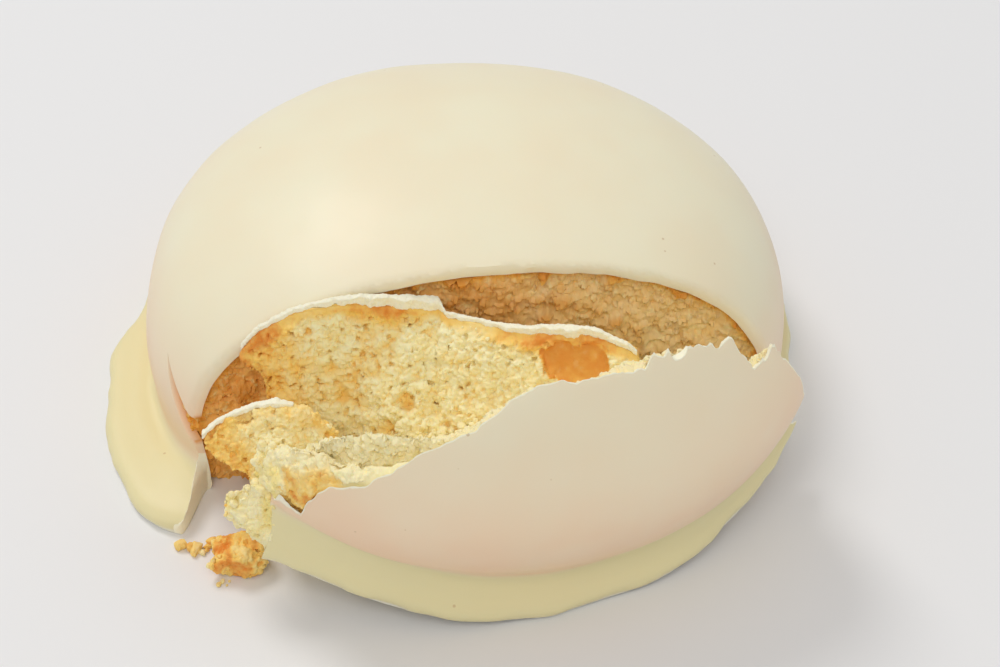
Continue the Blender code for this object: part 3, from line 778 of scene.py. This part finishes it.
def tornY(x, z):
    # the torn edge with its teeth; at the left corner the low icing reaches back. Towards the right it has
    # spikes: a quarter less the size of the noise, so that they are sharp at the back
    spot = spotAt(x, 4.0, 0.35 * z)
    reach, overZ, overX = frontPart["corner"]
    corner = reach * smoothStep(*overZ, z) * smoothStep(*overX, x)
    grow, fade = frontPart["spikesX"]
    spikes = sum(height * (0.25 - np.abs(softNoise(spot, size, seed)))
                 for size, height, seed in frontPart["spikes"])
    spikes = spikes * smoothStep(*grow, x) * smoothStep(*fade, x)
    return alongLine(x, tornEdge) + corner + ripples(spot, frontPart["teeth"]) + spikes


def rearY(x, z):
    # broken rear face without its relief: along the cut, then forward towards the bare band at its top
    lower = cutY(x) - frontCrumb["breakDraw"]
    band = frontCrumb["bareLeast"] + frontCrumb["bareWidth"] * (1.0 - smoothStep(*frontCrumb["bareX"], x))
    upper = np.minimum(tornY(x, z) + band, lower)
    return lower + (upper - lower) * smoothStep(*frontCrumb["breakZ"], z)


def coverEnd(x, z):
    # where the full crumb under the icing ends
    return np.minimum(tornY(x, z) + frontCrumb["coverLap"], rearY(x, z) - frontCrumb["coverStep"])


def footBreak(y, z):
    # slanting break through the foot's left end: x grows with y up to its most, and wavers
    x, yThere, slope, most = frontPart["footBreak"]
    return np.minimum(x + slope * (y - yThere), most) + ripples(spotAt(0.0, y, z), frontPart["footWaver"])


icing = ringSolid("frontIcing",
                  outerRows(frontPart["columns"], frontPart["domeRows"], frontPart["footSteps"]))
carve(icing, hollow, keep=True)
carve(icing, block("torn", tornY, far, wide, high, frontPart["edgePitch"]))
carve(icing, block("footEnd", footBreak, -far, deep, high, frontPart["footPitch"], "x"))
icing = largestPart(icing)
points = readPoints(icing)
behind = tornY(points[:, 0], points[:, 2]) - points[:, 1]
writePoints(icing, poured(softenEdge(points, behind, -1.0, frontPart["edgeRadius"])))
markIcing(icing, frontPart["blushTop"], edge=1.0 - 0.5 * behind)
finishPiece(icing, "frontIcing", "icing_front", smoothIcing, inFront=True)

# granular mass of the foot beyond that break: where it begins inside the icing, its rear y, top z and
# leftmost x, and the least x + y that it reaches
brokenFoot = {"around": 180, "domeRows": 30, "footSteps": 3, "pitch": 0.14, "relief": 0.8, "overlap": 0.5,
              "rear": -21.2, "top": 5.6, "left": -28.7, "slant": -51.5, "slantWaver": ((1.4, 0.35, 109),),
              # its colour: x over which it takes over from the crust, and its yellow patches
              "from": (-23.8, -24.8), "yellow": ((2.2, 1.0, 85),), "yellowLevels": (0.4, -0.3)}
# crust that shows behind the torn corner, just under the icing there
tornCorner = {"inset": 0.4, "bottom": 4.0, "right": -13.0,
              # its left end: x at the bottom and how fast it grows with z
              "left": (-25.95, 0.22), "leftWaver": ((1.6, 0.6, 111),),
              # its reach behind the torn edge: x, reach; the share of it over which it sinks to the crumb,
              # and the share where it is cut off
              "behind": ((-26.0, 3.4), (-21.5, 3.4), (-18.5, 1.7), (-15.0, 0.7), (-13.0, 0.2)),
              "sinkShare": (0.4, 1.0), "endShare": 1.3,
              # at the foot's crease it lies deeper: by how much, and over which z
              "creaseSink": (1.1, (8.3, 7.3)),
              # browning: x over which it begins and ends, share of the reach over which it fades, their
              # wavers, its strength and patches, and the height at which the torn edge is taken
              "beginX": (-24.8, -23.8), "beginWaver": ((1.2, 0.6, 84),), "endX": (-17.6, -20.4),
              "endWaver": ((1.6, 1.4, 115),), "fadeShare": (1.0, 0.45), "fadeWaver": ((1.5, 0.7, 110),),
              "strength": 0.62, "patches": ((0.9, 0.3, 86),), "edgeLevel": 12.0}


def footSlant(y, z):
    # the mass ends where x + y falls below a limit that wavers
    x = brokenFoot["slant"] - y + ripples(spotAt(0.0, y, z), brokenFoot["slantWaver"])
    return np.maximum(x, brokenFoot["left"])


def cornerLeft(y, z):
    # the crust's left end, which leans to the right with height
    x, lean = tornCorner["left"]
    return x + lean * (z - tornCorner["bottom"]) + ripples(spotAt(0.0, y, z), tornCorner["leftWaver"])


def cornerRear(x, z):
    # the crust's rear, past the line where it has sunk
    return tornY(x, z) + tornCorner["endShare"] * alongLine(x, tornCorner["behind"])


def massHold(p):
    # how far the relief reaches: 0 under the icing's skin, 1 where the mass lies open
    behind = smoothStep(-0.1, 0.8, p[:, 1] - tornY(p[:, 0], p[:, 2]))
    return smoothStep(1.0, 0.2, p[:, 0] - footBreak(p[:, 1], p[:, 2]) - 8.0 * behind)


def crustWedge():
    # the dome just under the skin, sunk to the bare crumb's level behind the torn edge, and cut to length
    wedge = ringSolid("wedge", innerRows(tornCorner["inset"], 0.3, 300, 80))
    points = readPoints(wedge)
    behind = points[:, 1] - tornY(points[:, 0], points[:, 2])
    depth, overZ = tornCorner["creaseSink"]
    bareLevel = spongeInset + frontCrumb["bareDepth"] - tornCorner["inset"]
    share = behind / alongLine(points[:, 0], tornCorner["behind"])
    sink = bareLevel * smoothStep(*tornCorner["sinkShare"], share)
    sink = np.maximum(sink, depth * smoothStep(*overZ, points[:, 2]))
    writePoints(wedge, points - unit(fromMiddle(points)) * sink[:, None])
    carve(wedge, block("rear", cornerRear, far, wide, high))
    carve(wedge, block("right", flatAt(tornCorner["right"]), far, deep, high, 2.0, "x"))
    carve(wedge, block("left", cornerLeft, -far, deep, high, axis="x"))
    return wedge


mass = ringSolid("brokenFoot",
                 outerRows(brokenFoot["around"], brokenFoot["domeRows"], brokenFoot["footSteps"]))
bpy.data.objects.remove(hollow)
carve(mass, block("rear", flatAt(brokenFoot["rear"]), far, wide, high, 2.0))
carve(mass, block("inner", lambda y, z: footBreak(y, z) + brokenFoot["overlap"], far, deep, high, 0.6, "x"))
carve(mass, block("outer", footSlant, -far, deep, high, axis="x"))
carve(mass, block("top", flatAt(-far), far, wide, (brokenFoot["top"], high[1]), 4.0))
carve(mass, crustWedge(), "UNION")
mass = largestPart(mass)
hollowness = crumble(mass, brokenFoot["pitch"], massHold, brokenFoot["relief"])
points = readPoints(mass)
behind = points[:, 1] - tornY(points[:, 0], tornCorner["edgeLevel"])
behind = behind + ripples(points, tornCorner["fadeWaver"])
crusty = (smoothStep(*tornCorner["beginX"], points[:, 0] + ripples(points, tornCorner["beginWaver"]))
          * smoothStep(*tornCorner["fadeShare"], behind / alongLine(points[:, 0], tornCorner["behind"]))
          * smoothStep(*tornCorner["endX"], points[:, 0] + ripples(points, tornCorner["endWaver"])))
granular = smoothStep(*brokenFoot["from"], points[:, 0])
yellow = smoothStep(*brokenFoot["yellowLevels"], ripples(points, brokenFoot["yellow"]))
mark(mass, crust=crusty * (tornCorner["strength"] + ripples(points, tornCorner["patches"])) + 0.1, shade=0.0,
     pit=hollowness * (1.0 - 0.6 * granular), white=0.75 - 0.75 * crusty, foot=granular * yellow)
finishPiece(mass, "brokenFoot", None, crumb, inFront=True)

sponge = ringSolid("frontSponge", innerRows(spongeInset, 0.0, 160, 40))
carve(sponge, block("cover", coverEnd, far, wide, high))
stripped = ringSolid("stripped", innerRows(spongeInset + frontCrumb["bareDepth"], 0.6, 160, 40))
carve(stripped, block("rear", rearY, far, wide, high))
carve(sponge, stripped, "UNION")
carve(sponge, block("end", flatAt(frontCrumb["leftEnd"]), -far, deep, high, 2.0, "x"))
sponge = largestPart(sponge)


def bareShare(p):
    # 1 on the crumb behind the torn edge and at the left end, 0 under the icing
    behindEdge = smoothStep(-1.0, -0.2, p[:, 1] - tornY(p[:, 0], p[:, 2]))
    return np.maximum(behindEdge, smoothStep(1.4, 0.5, p[:, 0] - frontCrumb["leftEnd"]))


def bandCrust(p):
    # browned bits near the old skin, and a browned corner where the icing tore off at the left
    cornerX, reach = frontCrumb["brownCorner"]
    corner = smoothStep(reach, 0.4 * reach, np.hypot(p[:, 0] - cornerX, p[:, 1] - tornY(p[:, 0], p[:, 2])))
    return np.maximum(crustByDepth(p), corner * (p[:, 2] > frontCrumb["brownLevel"]))


hollowness = crumble(sponge, frontCrumb["pitch"], bareShare, frontCrumb["relief"])
# partly painted light: the front crumb is made nearly white so that it stays bright in the slab's shade
mark(sponge, crust=bandCrust(readPoints(sponge)), pit=0.4 * hollowness, shade=0.0, white=0.9)
finishPiece(sponge, "frontSponge", "sponge_front", crumb, inFront=True)
print("front part done")

# the slab that stands between
slab = {"ends": (-22.6, 17.6), "columns": 150, "rows": 50, "pitch": 0.165,
        # its top runs along the cut, this far in front of it, to the bend, and from there forward by this
        # slope, with a step over these x; beyond the bend it came from a place that much nearer, and from
        # this far inside the cut
        "cutGap": 0.45, "bend": -2.5, "slope": 0.30, "step": (-2.5, -1.6), "nearer": 0.93, "inside": 0.4,
        # how deep the crumb's top is from front to back, and how far below the icing's underside it lies
        "strip": 0.5, "seat": -0.1,
        # front face: how fast it comes forward below the top, at the left and the right, between these x,
        # and the height below which it is upright
        "lean": (0.38, 0.88), "leanX": (-13.0, -4.0), "knee": 9.0,
        # lower edge: z at the left and at its very end, between these x; from the second pair of x it
        # stands on the floor; its teeth are size, height and seed
        "low": (11.2, 18.5), "lowX": (-16.2, -23.6), "hangX": (-9.5, -5.0),
        "lowTeeth": ((2.1, 1.3, 87), (0.9, 0.5, 88)),
        # rear face: in front of the cut by this, its foot a little more; towards the right end, from this
        # x, it comes as near the front face as the thickness
        "rearGap": 0.7, "rearFoot": 0.3, "thinFrom": 12.0, "thick": 1.6,
        # the browned left end: x, strength and waver
        "brownEnd": (-11.0, -20.5), "brownShare": 0.8, "brownWaver": ((2.2, 1.5, 80),),
        # how far its top lies above the dome that it came from: x, rise
        "rise": ((-22.6, 0.5), (-20.8, 1.3), (-17.3, 1.4), (-12.8, 0.6), (-10.0, 0.0), (-7.3, -1.0),
                 (-4.8, -1.7), (-2.4, -2.3), (-1.6, -3.3), (3.8, -3.5), (6.5, -3.1), (9.0, -2.1),
                 (11.2, -1.4), (13.2, -0.8), (16.5, -1.3), (17.6, -2.0)),
        # the icing on it: x, how thick it is and how far its front edge comes forward
        "icing": ((-22.6, 0.42, 0.3), (-16.0, 0.5, 0.35), (-12.5, 0.7, 0.45), (-9.5, 1.0, 0.6),
                  (-2.5, 1.0, 0.6), (-1.9, 0.45, 0.35), (2.0, 0.4, 0.3), (6.0, 0.6, 0.45),
                  (11.0, 0.8, 0.55), (14.5, 0.7, 0.5), (17.6, 0.4, 0.3)),
        # smooth hollow of bare crust: x, how far under the top, half width, half height, depth; the
        # outline's power, how it fades, its waver and the finer waver of its left half; its browning and
        # the patches in it
        "patch": (11.4, 2.5, 3.1, 1.7, 0.7), "patchPower": 3, "patchFade": (1.1, 0.92),
        "patchWaver": ((1.3, 0.3, 77),), "patchLeft": ((0.5, 0.14, 76),), "baked": 1.2,
        "bakedPatches": ((1.1, 0.5, 114),),
        # browning: its waver, then x, how deep it reaches under the top, how strong it is
        "crustWaver": ((1.8, 0.35, 78),),
        "crust": ((-22.6, 6.5, 1.0), (-19.5, 4.0, 0.95), (-15.5, 1.6, 0.6), (-12.0, 1.8, 0.65),
                  (-9.0, 3.0, 0.95), (-6.0, 2.6, 0.9), (-3.0, 1.4, 0.6), (3.0, 1.3, 0.6),
                  (6.0, 1.9, 0.85), (9.0, 2.2, 0.95), (14.0, 2.0, 0.85), (17.6, 1.6, 0.7))}


def slabBackY(x):
    # top back edge: along the cut, then a small step and bent forward
    beyond = np.maximum(x - slab["bend"], 0.0)
    line = cutY(np.minimum(x, slab["bend"])) - slab["cutGap"]
    return line - slab["slope"] * beyond - smoothStep(*slab["step"], x)


def slabTopZ(x, y, inset):
    # the dome's height over the place where the slab's top came from
    along = np.where(x > slab["bend"], slab["bend"] + slab["nearer"] * (x - slab["bend"]), x)
    return domeZ(along, cutY(along) + (y - slabBackY(x)) - slab["inside"], inset) + alongLine(x, slab["rise"])


def slabTop(x):
    # y and z of the crumb's top front edge
    y = slabBackY(x) - slab["strip"]
    return y, slabTopZ(x, y, alongLine(x, slab["icing"]) + slab["seat"])


def slabSection(x, v):
    # front face: v runs from its lower edge to its top; it leans forward down to the knee
    yTop, zTop = slabTop(x)
    low, lowEnd = slab["low"]
    edge = low + (lowEnd - low) * smoothStep(*slab["lowX"], x)
    edge = edge + ripples(spotAt(x, 0.0, 0.0), slab["lowTeeth"])
    zLow = (1.0 - smoothStep(*slab["hangX"], x)) * edge
    z = zLow + (zTop - zLow) * v
    lean, leanRight = slab["lean"]
    lean = lean + (leanRight - lean) * smoothStep(*slab["leanX"], x)
    return yTop - lean * (zTop - np.maximum(z, slab["knee"])), z


def patchShare(x, below):
    # 1 in the bare patch, 0 outside its uneven outline, a superellipse
    middle, level, halfWidth, halfHeight, _ = slab["patch"]
    spot = spotAt(x, below, 0.0)
    waver = ripples(spot, slab["patchWaver"]) + ripples(spot, slab["patchLeft"]) * (x < middle)
    across = np.abs(x - middle) / halfWidth
    down = np.abs(below - level) / halfHeight
    power = slab["patchPower"]
    return smoothStep(*slab["patchFade"], (across ** power + down ** power) ** (1.0 / power) + waver)


def frontRoom():
    # block round the front part, which the loose pieces keep clear of
    def face(x, z):
        return rearY(x, z) + frontCrumb["room"]
    left = frontCrumb["leftEnd"] - frontCrumb["roomLeft"]
    room = block("room", face, -far, (left, wide[1]), (-0.6, high[1]), 2.0)
    writePoints(room, toFront(readPoints(room)))
    return room


slabLeft, slabRight = slab["ends"]
u, v = grid(slab["columns"], slab["rows"])
x = slabLeft + (slabRight - slabLeft) * u
y, z = slabSection(x, v)
upright = cutY(x) - slab["rearGap"]
rear = upright + (slabBackY(x) - upright) * np.minimum(z / slabTop(x)[1], 1.0) - slab["rearFoot"] * (1.0 - v)
rear = rear + (y + slab["thick"] - rear) * smoothStep(slab["thinFrom"], slabRight + 0.5, x)
y = y + slab["patch"][-1] * patchShare(x, slabTop(x)[1] - z)
sponge = sheetSolid("slabSponge", spotAt(x, y, z), spotAt(x, rear, z))
carve(sponge, frontRoom())
sponge = largestPart(sponge)


def slabHold(p):
    # how far the relief reaches: little at the top edge and hardly at all in the patch
    below = slabTop(p[:, 0])[1] - p[:, 2]
    return (1.0 - 0.93 * patchShare(p[:, 0], below)) * (0.12 + 0.88 * smoothStep(0.2, 1.2, below))


def slabCrust(p):
    # browning: a band under the top, the left end and the patch, whichever is strongest
    below = slabTop(p[:, 0])[1] - p[:, 2]
    reach = alongLine(p[:, 0], slab["crust"]) * (1.0 + ripples(p, slab["crustWaver"]))
    band = alongLine(p[:, 0], slab["crust"], 2) * smoothStep(1.0, 0.25, below / reach)
    leftEnd = slab["brownShare"] * smoothStep(*slab["brownEnd"], p[:, 0] + ripples(p, slab["brownWaver"]))
    baked = (slab["baked"] + ripples(p, slab["bakedPatches"])) * patchShare(p[:, 0], below)
    return np.maximum(np.maximum(band, leftEnd), baked)


hollowness = crumble(sponge, slab["pitch"], slabHold)
points = readPoints(sponge)
patch = patchShare(points[:, 0], slabTop(points[:, 0])[1] - points[:, 2])
# the patch also gets the hollow and cut shade marks, which make it darker and mottled
mark(sponge, crust=slabCrust(points), pit=np.maximum(hollowness, patch), shade=0.4 * patch, white=0.0)
finishPiece(sponge, "slabSponge", "sponge_slab", crumb)

# strips of broken icing: size of their faces, rows from front to back, how far the underside comes forward
# besides; size, height and seed of their roughness all over, of their ragged front edge, of their uneven
# underside and of their top near that edge
stripLook = {"pitch": 0.075, "rows": 9, "slant": 0.1,
             "rough": ((1.1, 0.05, 91), (0.42, 0.06, 92), (0.2, 0.04, 98)),
             "ragged": ((2.6, 0.28, 93), (0.9, 0.3, 94), (0.4, 0.16, 97)),
             "uneven": ((1.5, 0.22, 99), (0.6, 0.2, 89)), "top": ((0.7, 0.07, 95), (0.35, 0.05, 96))}


def brokenStrip(name, node, x, yBack, topZ, thickness):
    # band of icing along x from its back edge y and its top z; thickness gives how thick it is there and
    # how far its front edge comes forward
    u, v = np.meshgrid(x, np.linspace(0, 1, stripLook["rows"]), indexing="ij")
    spot = spotAt(u, 2.0, 0.0)
    width = alongLine(u, thickness, 2)
    y = yBack(u) - (1.0 - v) * width * (1.0 + ripples(spot, stripLook["ragged"]))
    z = topZ(u, y) + (1.0 - v) * ripples(spot, stripLook["top"])
    low = z - alongLine(u, thickness) * (1.0 + ripples(spot, stripLook["uneven"]))
    piece = sheetSolid(name, spotAt(u, y, z), spotAt(u, y - stripLook["slant"] * (1.0 - v), low))
    evenFaces(piece, stripLook["pitch"])
    for look in stripLook["rough"]:
        pushOut(piece, ripples(readPoints(piece), (look,)))
    mark(piece, foot=0.0, blush=0.0, rim=0.0, stain=0.0, edge=1.0)
    finishPiece(piece, name, node, brokenIcing)


brokenStrip("slabIcing", "icing_slab", np.linspace(slabLeft + 0.15, slabRight - 0.15, 300), slabBackY,
            lambda x, y: slabTopZ(x, y, 0.0), slab["icing"])
print("slab done")

# the chunk at the left; its icing ends between the two x of iced
chunk = {"rows": 60, "pitch": 0.13, "relief": 0.85, "strip": 0.8, "seat": 0.05, "iced": (-15.4, -16.8),
         # its front comes forward by lean down to the belly and tucks in below it; its rear leans down to a
         # depth
         "lean": 0.75, "belly": 6.5, "tuck": 0.35, "rearLean": 0.05, "rearDepth": 14.0,
         # browning: at least, what the left end has besides and over which x, and the band along the top
         "brown": (0.32, 0.45), "brownX": (-19.5, -25.4), "brownWaver": ((2.0, 1.2, 79),), "band": 0.5,
         "bandDepth": (2.0, 0.6),
         # the icing on it: x, how thick it is and how far its front edge comes forward
         "icing": ((-26.0, 0.6, 0.7), (-24.0, 0.42, 0.55), (-21.0, 0.4, 0.6), (-18.5, 0.5, 0.75),
                   (-16.8, 0.35, 0.5)),
         # x, then y and z of its top, and z of its lower edge
         "line": ((-25.8, -28.3, 16.5, 15.3), (-24.5, -27.8, 17.5, 14.4), (-22.0, -27.1, 18.4, 13.4),
                  (-20.6, -26.9, 18.9, 12.6), (-18.5, -26.8, 19.4, 0.0), (-16.4, -26.9, 18.8, 0.0),
                  (-14.7, -27.1, 17.6, 0.0), (-12.4, -27.4, 15.6, 0.0))}

u, v = grid(chunk["rows"], chunk["rows"])
chunkLeft = chunk["line"][0][0]
x = chunkLeft + (chunk["line"][-1][0] - chunkLeft) * u
yTop, zTop, zLow = (alongLine(x, chunk["line"], column) for column in (1, 2, 3))
covered = zTop - (alongLine(x, chunk["icing"]) + chunk["seat"]) * smoothStep(*chunk["iced"], x)
z = zLow + (covered - zLow) * v
below = zTop - z
y = yTop - chunk["lean"] * np.minimum(below, chunk["belly"])
y = y + chunk["tuck"] * np.maximum(below - chunk["belly"], 0.0)
rear = yTop + chunk["strip"] + chunk["rearLean"] * np.minimum(below, chunk["rearDepth"])
sponge = sheetSolid("chunkSponge", spotAt(x, y, z), spotAt(x, rear, z))
carve(sponge, frontRoom())
sponge = largestPart(sponge)


def chunkCrust(p):
    # browned at the left end and thinly along the top
    below = alongLine(p[:, 0], chunk["line"], 2) - p[:, 2]
    least, besides = chunk["brown"]
    leftEnd = least + besides * smoothStep(*chunk["brownX"], p[:, 0] + ripples(p, chunk["brownWaver"]))
    return np.maximum(leftEnd, chunk["band"] * smoothStep(*chunk["bandDepth"], below))


hollowness = crumble(sponge, chunk["pitch"], reach=chunk["relief"])
mark(sponge, crust=chunkCrust(readPoints(sponge)), pit=hollowness, shade=0.0, white=0.0)
finishPiece(sponge, "chunkSponge", "sponge_chunk", crumb)
brokenStrip("chunkIcing", "icing_chunk", np.linspace(chunkLeft - 0.2, chunk["iced"][1], 110),
            lambda x: alongLine(x, chunk["line"]) + chunk["strip"],
            lambda x, y: alongLine(x, chunk["line"], 2), chunk["icing"])
print("chunk done")

# the loose crumb
lump = {"centre": (-22.8, -30.6), "size": (3.2, 2.4, 3.9), "around": 90, "rows": 45, "pitch": 0.12,
        "relief": 0.75,
        # its swelling, how high its middle lies and how tall it is as shares of its height, and its
        # browning: least, besides, patches and x
        "swell": ((0.9, 0.3, 101),), "level": (0.42, 0.5), "brown": (0.6, 0.5),
        "brownPatches": ((1.1, 1.0, 103),), "brownX": (-20.0, -22.2)}


def lumpRows():
    # ball stretched to the lump's size, swollen unevenly, flat underneath
    phi, theta = np.meshgrid(np.linspace(0, 2 * math.pi, lump["around"], endpoint=False),
                             np.linspace(-0.5 * math.pi, 0.5 * math.pi, lump["rows"] + 1))
    ball = np.stack([np.cos(theta) * np.cos(phi), np.cos(theta) * np.sin(phi), np.sin(theta)], -1)
    ball[[0, -1], :, :2] = 0.0
    ball = ball * (1.0 + ripples(ball, lump["swell"]))[..., None]
    length, depth, height = lump["size"]
    middle, reach = lump["level"]
    return spotAt(lump["centre"][0] + length * ball[..., 0], lump["centre"][1] + depth * ball[..., 1],
                  np.maximum(0.0, height * (middle + reach * ball[..., 2])))


piece = ringSolid("looseCrumb", lumpRows())
hollowness = crumble(piece, lump["pitch"], reach=lump["relief"])
points = readPoints(piece)
browned = smoothStep(-0.7, 0.3, ripples(points, lump["brownPatches"]))
browned = browned * smoothStep(*lump["brownX"], points[:, 0])
mark(piece, crust=lump["brown"][0] + lump["brown"][1] * browned, pit=hollowness, shade=0.0, white=0.0)
finishPiece(piece, "looseCrumb", "crumb_loose", crumb)

# small crumbs that lie on the broken faces and on the floor. uneven: size and height of their lumps, on a
# ball 1 across. patches: middle x and y, reach in x and y, how many, their least and greatest size in mm,
# how browned and how pale they are
crumbs = {"seed": 5, "uneven": ((0.45, 0.5, 105),), "sharp": 28.0, "grounds": (
    "frontSponge", "slabSponge", "chunkSponge", "frontIcing", "brokenFoot", "looseCrumb", "backIcing",
), "patches": (
    (-0.7, -26.6, 2.4, 0.7, 30, 0.3, 1.0, 0.25, 0.3), (-8.5, -25.6, 3.0, 0.9, 34, 0.3, 1.1, 0.2, 0.3),
    (-12.5, -26.0, 1.8, 1.2, 26, 0.4, 1.2, 0.3, 0.2), (-18.6, -32.2, 1.8, 1.2, 34, 0.4, 1.3, 0.3, 0.3),
    (-21.5, -32.8, 1.4, 1.2, 20, 0.4, 1.2, 0.3, 0.4), (-16.5, -33.6, 1.6, 1.0, 20, 0.3, 1.0, 0.6, 0.1),
    (-24.5, -32.6, 1.8, 1.0, 12, 0.3, 0.9, 0.7, 0.0), (-27.8, -28.3, 2.2, 0.9, 10, 0.5, 1.6, 0.9, 0.0),
    (-8.0, -32.0, 5.0, 1.0, 34, 0.2, 0.7, 0.4, 0.3), (2.0, -20.5, 7.0, 1.0, 10, 0.2, 0.5, 0.2, 0.3))}


def scatterCrumbs():
    # uneven balls: one small sphere copied, turned at random, swollen by noise and let down onto what lies
    # below
    rng = np.random.default_rng(crumbs["seed"])
    graph = bpy.context.evaluated_depsgraph_get()
    grounds = [BVHTree.FromObject(bpy.data.objects[name], graph) for name in crumbs["grounds"]]
    down = Vector((0, 0, -1))
    places = []
    for x, y, reachX, reachY, count, least, most, browned, pale in crumbs["patches"]:
        for _ in range(count):
            spot = (x + reachX * rng.uniform(-1, 1), y + reachY * rng.uniform(-1, 1))
            above = Vector((spot[0] * mm, spot[1] * mm, 0.06))
            hits = [ground.ray_cast(above, down)[0] for ground in grounds]
            level = max([hit.z / mm for hit in hits if hit] + [0.0])
            size = least + (most - least) * rng.uniform() ** 2
            brown = browned * rng.uniform(0.5, 1.2)
            places.append((*spot, level + 0.25 * size, size, brown, pale * rng.uniform(0.5, 1.5)))
    places = np.array(places)
    tool = bmesh.new()
    bmesh.ops.create_icosphere(tool, subdivisions=2, radius=0.5)
    ball = np.array([v.co for v in tool.verts])
    faces = np.array([[v.index for v in f.verts] for f in tool.faces])
    tool.free()
    frames, _ = np.linalg.qr(rng.normal(size=(len(places), 3, 3)))
    lumps = ripples(ball[None] + 7.0 * rng.uniform(size=(len(places), 1, 3)), crumbs["uneven"])
    shapes = ball[None] * (1.0 + lumps)[..., None]
    shapes = np.einsum("nij,nkj->nki", frames, shapes * rng.uniform(0.65, 1.2, (len(places), 1, 3)))
    points = (places[:, None, :3] + places[:, None, 3:4] * shapes).reshape(-1, 3)
    allFaces = (faces[None] + len(ball) * np.arange(len(places))[:, None, None]).reshape(-1, 3)
    piece = newMesh("smallCrumbs", points, allFaces.tolist())
    brown, white = (np.repeat(places[:, column], len(ball)) for column in (4, 5))
    mark(piece, crust=brown, pit=0.0, shade=0.0, white=white)
    finishPiece(piece, "smallCrumbs", None, crumb, sharp=crumbs["sharp"])


scatterCrumbs()
print("crumbs done")

# floor, light and camera; lamps: name, place, size, watts and tint
studio = {"floor": 1.2, "paint": (236, 236, 237), "sky": 0.54, "target": (0, -0.005, 0.012), "lamps": (
    ("key", (-0.375, 0.42, 0.83), 0.4, 3.1, (1.0, 0.985, 0.96)),
    ("front", (-0.06, -0.68, 0.9), 0.5, 2.4, (1.0, 0.98, 0.95)),
    ("fill", (0.45, -0.35, 0.35), 0.5, 0.05, (0.97, 0.985, 1.0)))}

corner = 0.5 * studio["floor"]
floorMesh = bpy.data.meshes.new("floor")
corners = [(-corner, -corner, 0), (corner, -corner, 0), (corner, corner, 0), (-corner, corner, 0)]
floorMesh.from_pydata(corners, [], [(0, 1, 2, 3)])
floor = bpy.data.objects.new("floor", floorMesh)
bpy.context.scene.collection.objects.link(floor)
paint = Finish("paleFloor", Specular_IOR_Level=0.25)
floorMesh.materials.append(paint.use(Base_Color=colour(*studio["paint"]), Roughness=0.55))


def softbox(name, place, size, watts, tint):
    # round lamp that faces the cake
    data = bpy.data.lights.new(name, "AREA")
    data.shape = "DISK"
    data.size = size
    data.energy = watts
    data.color = tint
    lamp = bpy.data.objects.new(name, data)
    lamp.location = place
    lamp.rotation_euler = (Vector(studio["target"]) - Vector(place)).to_track_quat("-Z", "Y").to_euler()
    bpy.context.scene.collection.objects.link(lamp)


for lampLook in studio["lamps"]:
    softbox(*lampLook)

scene = bpy.context.scene
sky = bpy.data.worlds.new("studio")
sky.use_nodes = True
sky.node_tree.nodes["Background"].inputs["Color"].default_value = (1.0, 1.0, 1.0, 1.0)
sky.node_tree.nodes["Background"].inputs["Strength"].default_value = studio["sky"]
scene.world = sky
scene.view_settings.view_transform = "Standard"
scene.view_settings.look = "None"

view = {"lens": 103.68, "sensor": 36.0, "place": (0.00383, -0.2355, 0.2166), "tilt": 48.0}
cameraData = bpy.data.cameras.new("camera")
cameraData.sensor_width = view["sensor"]
cameraData.lens = view["lens"]
cameraData.clip_start = 0.01
camera = bpy.data.objects.new("camera", cameraData)
camera.location = view["place"]
camera.rotation_euler = (math.radians(view["tilt"]), 0.0, 0.0)
scene.collection.objects.link(camera)
scene.camera = camera
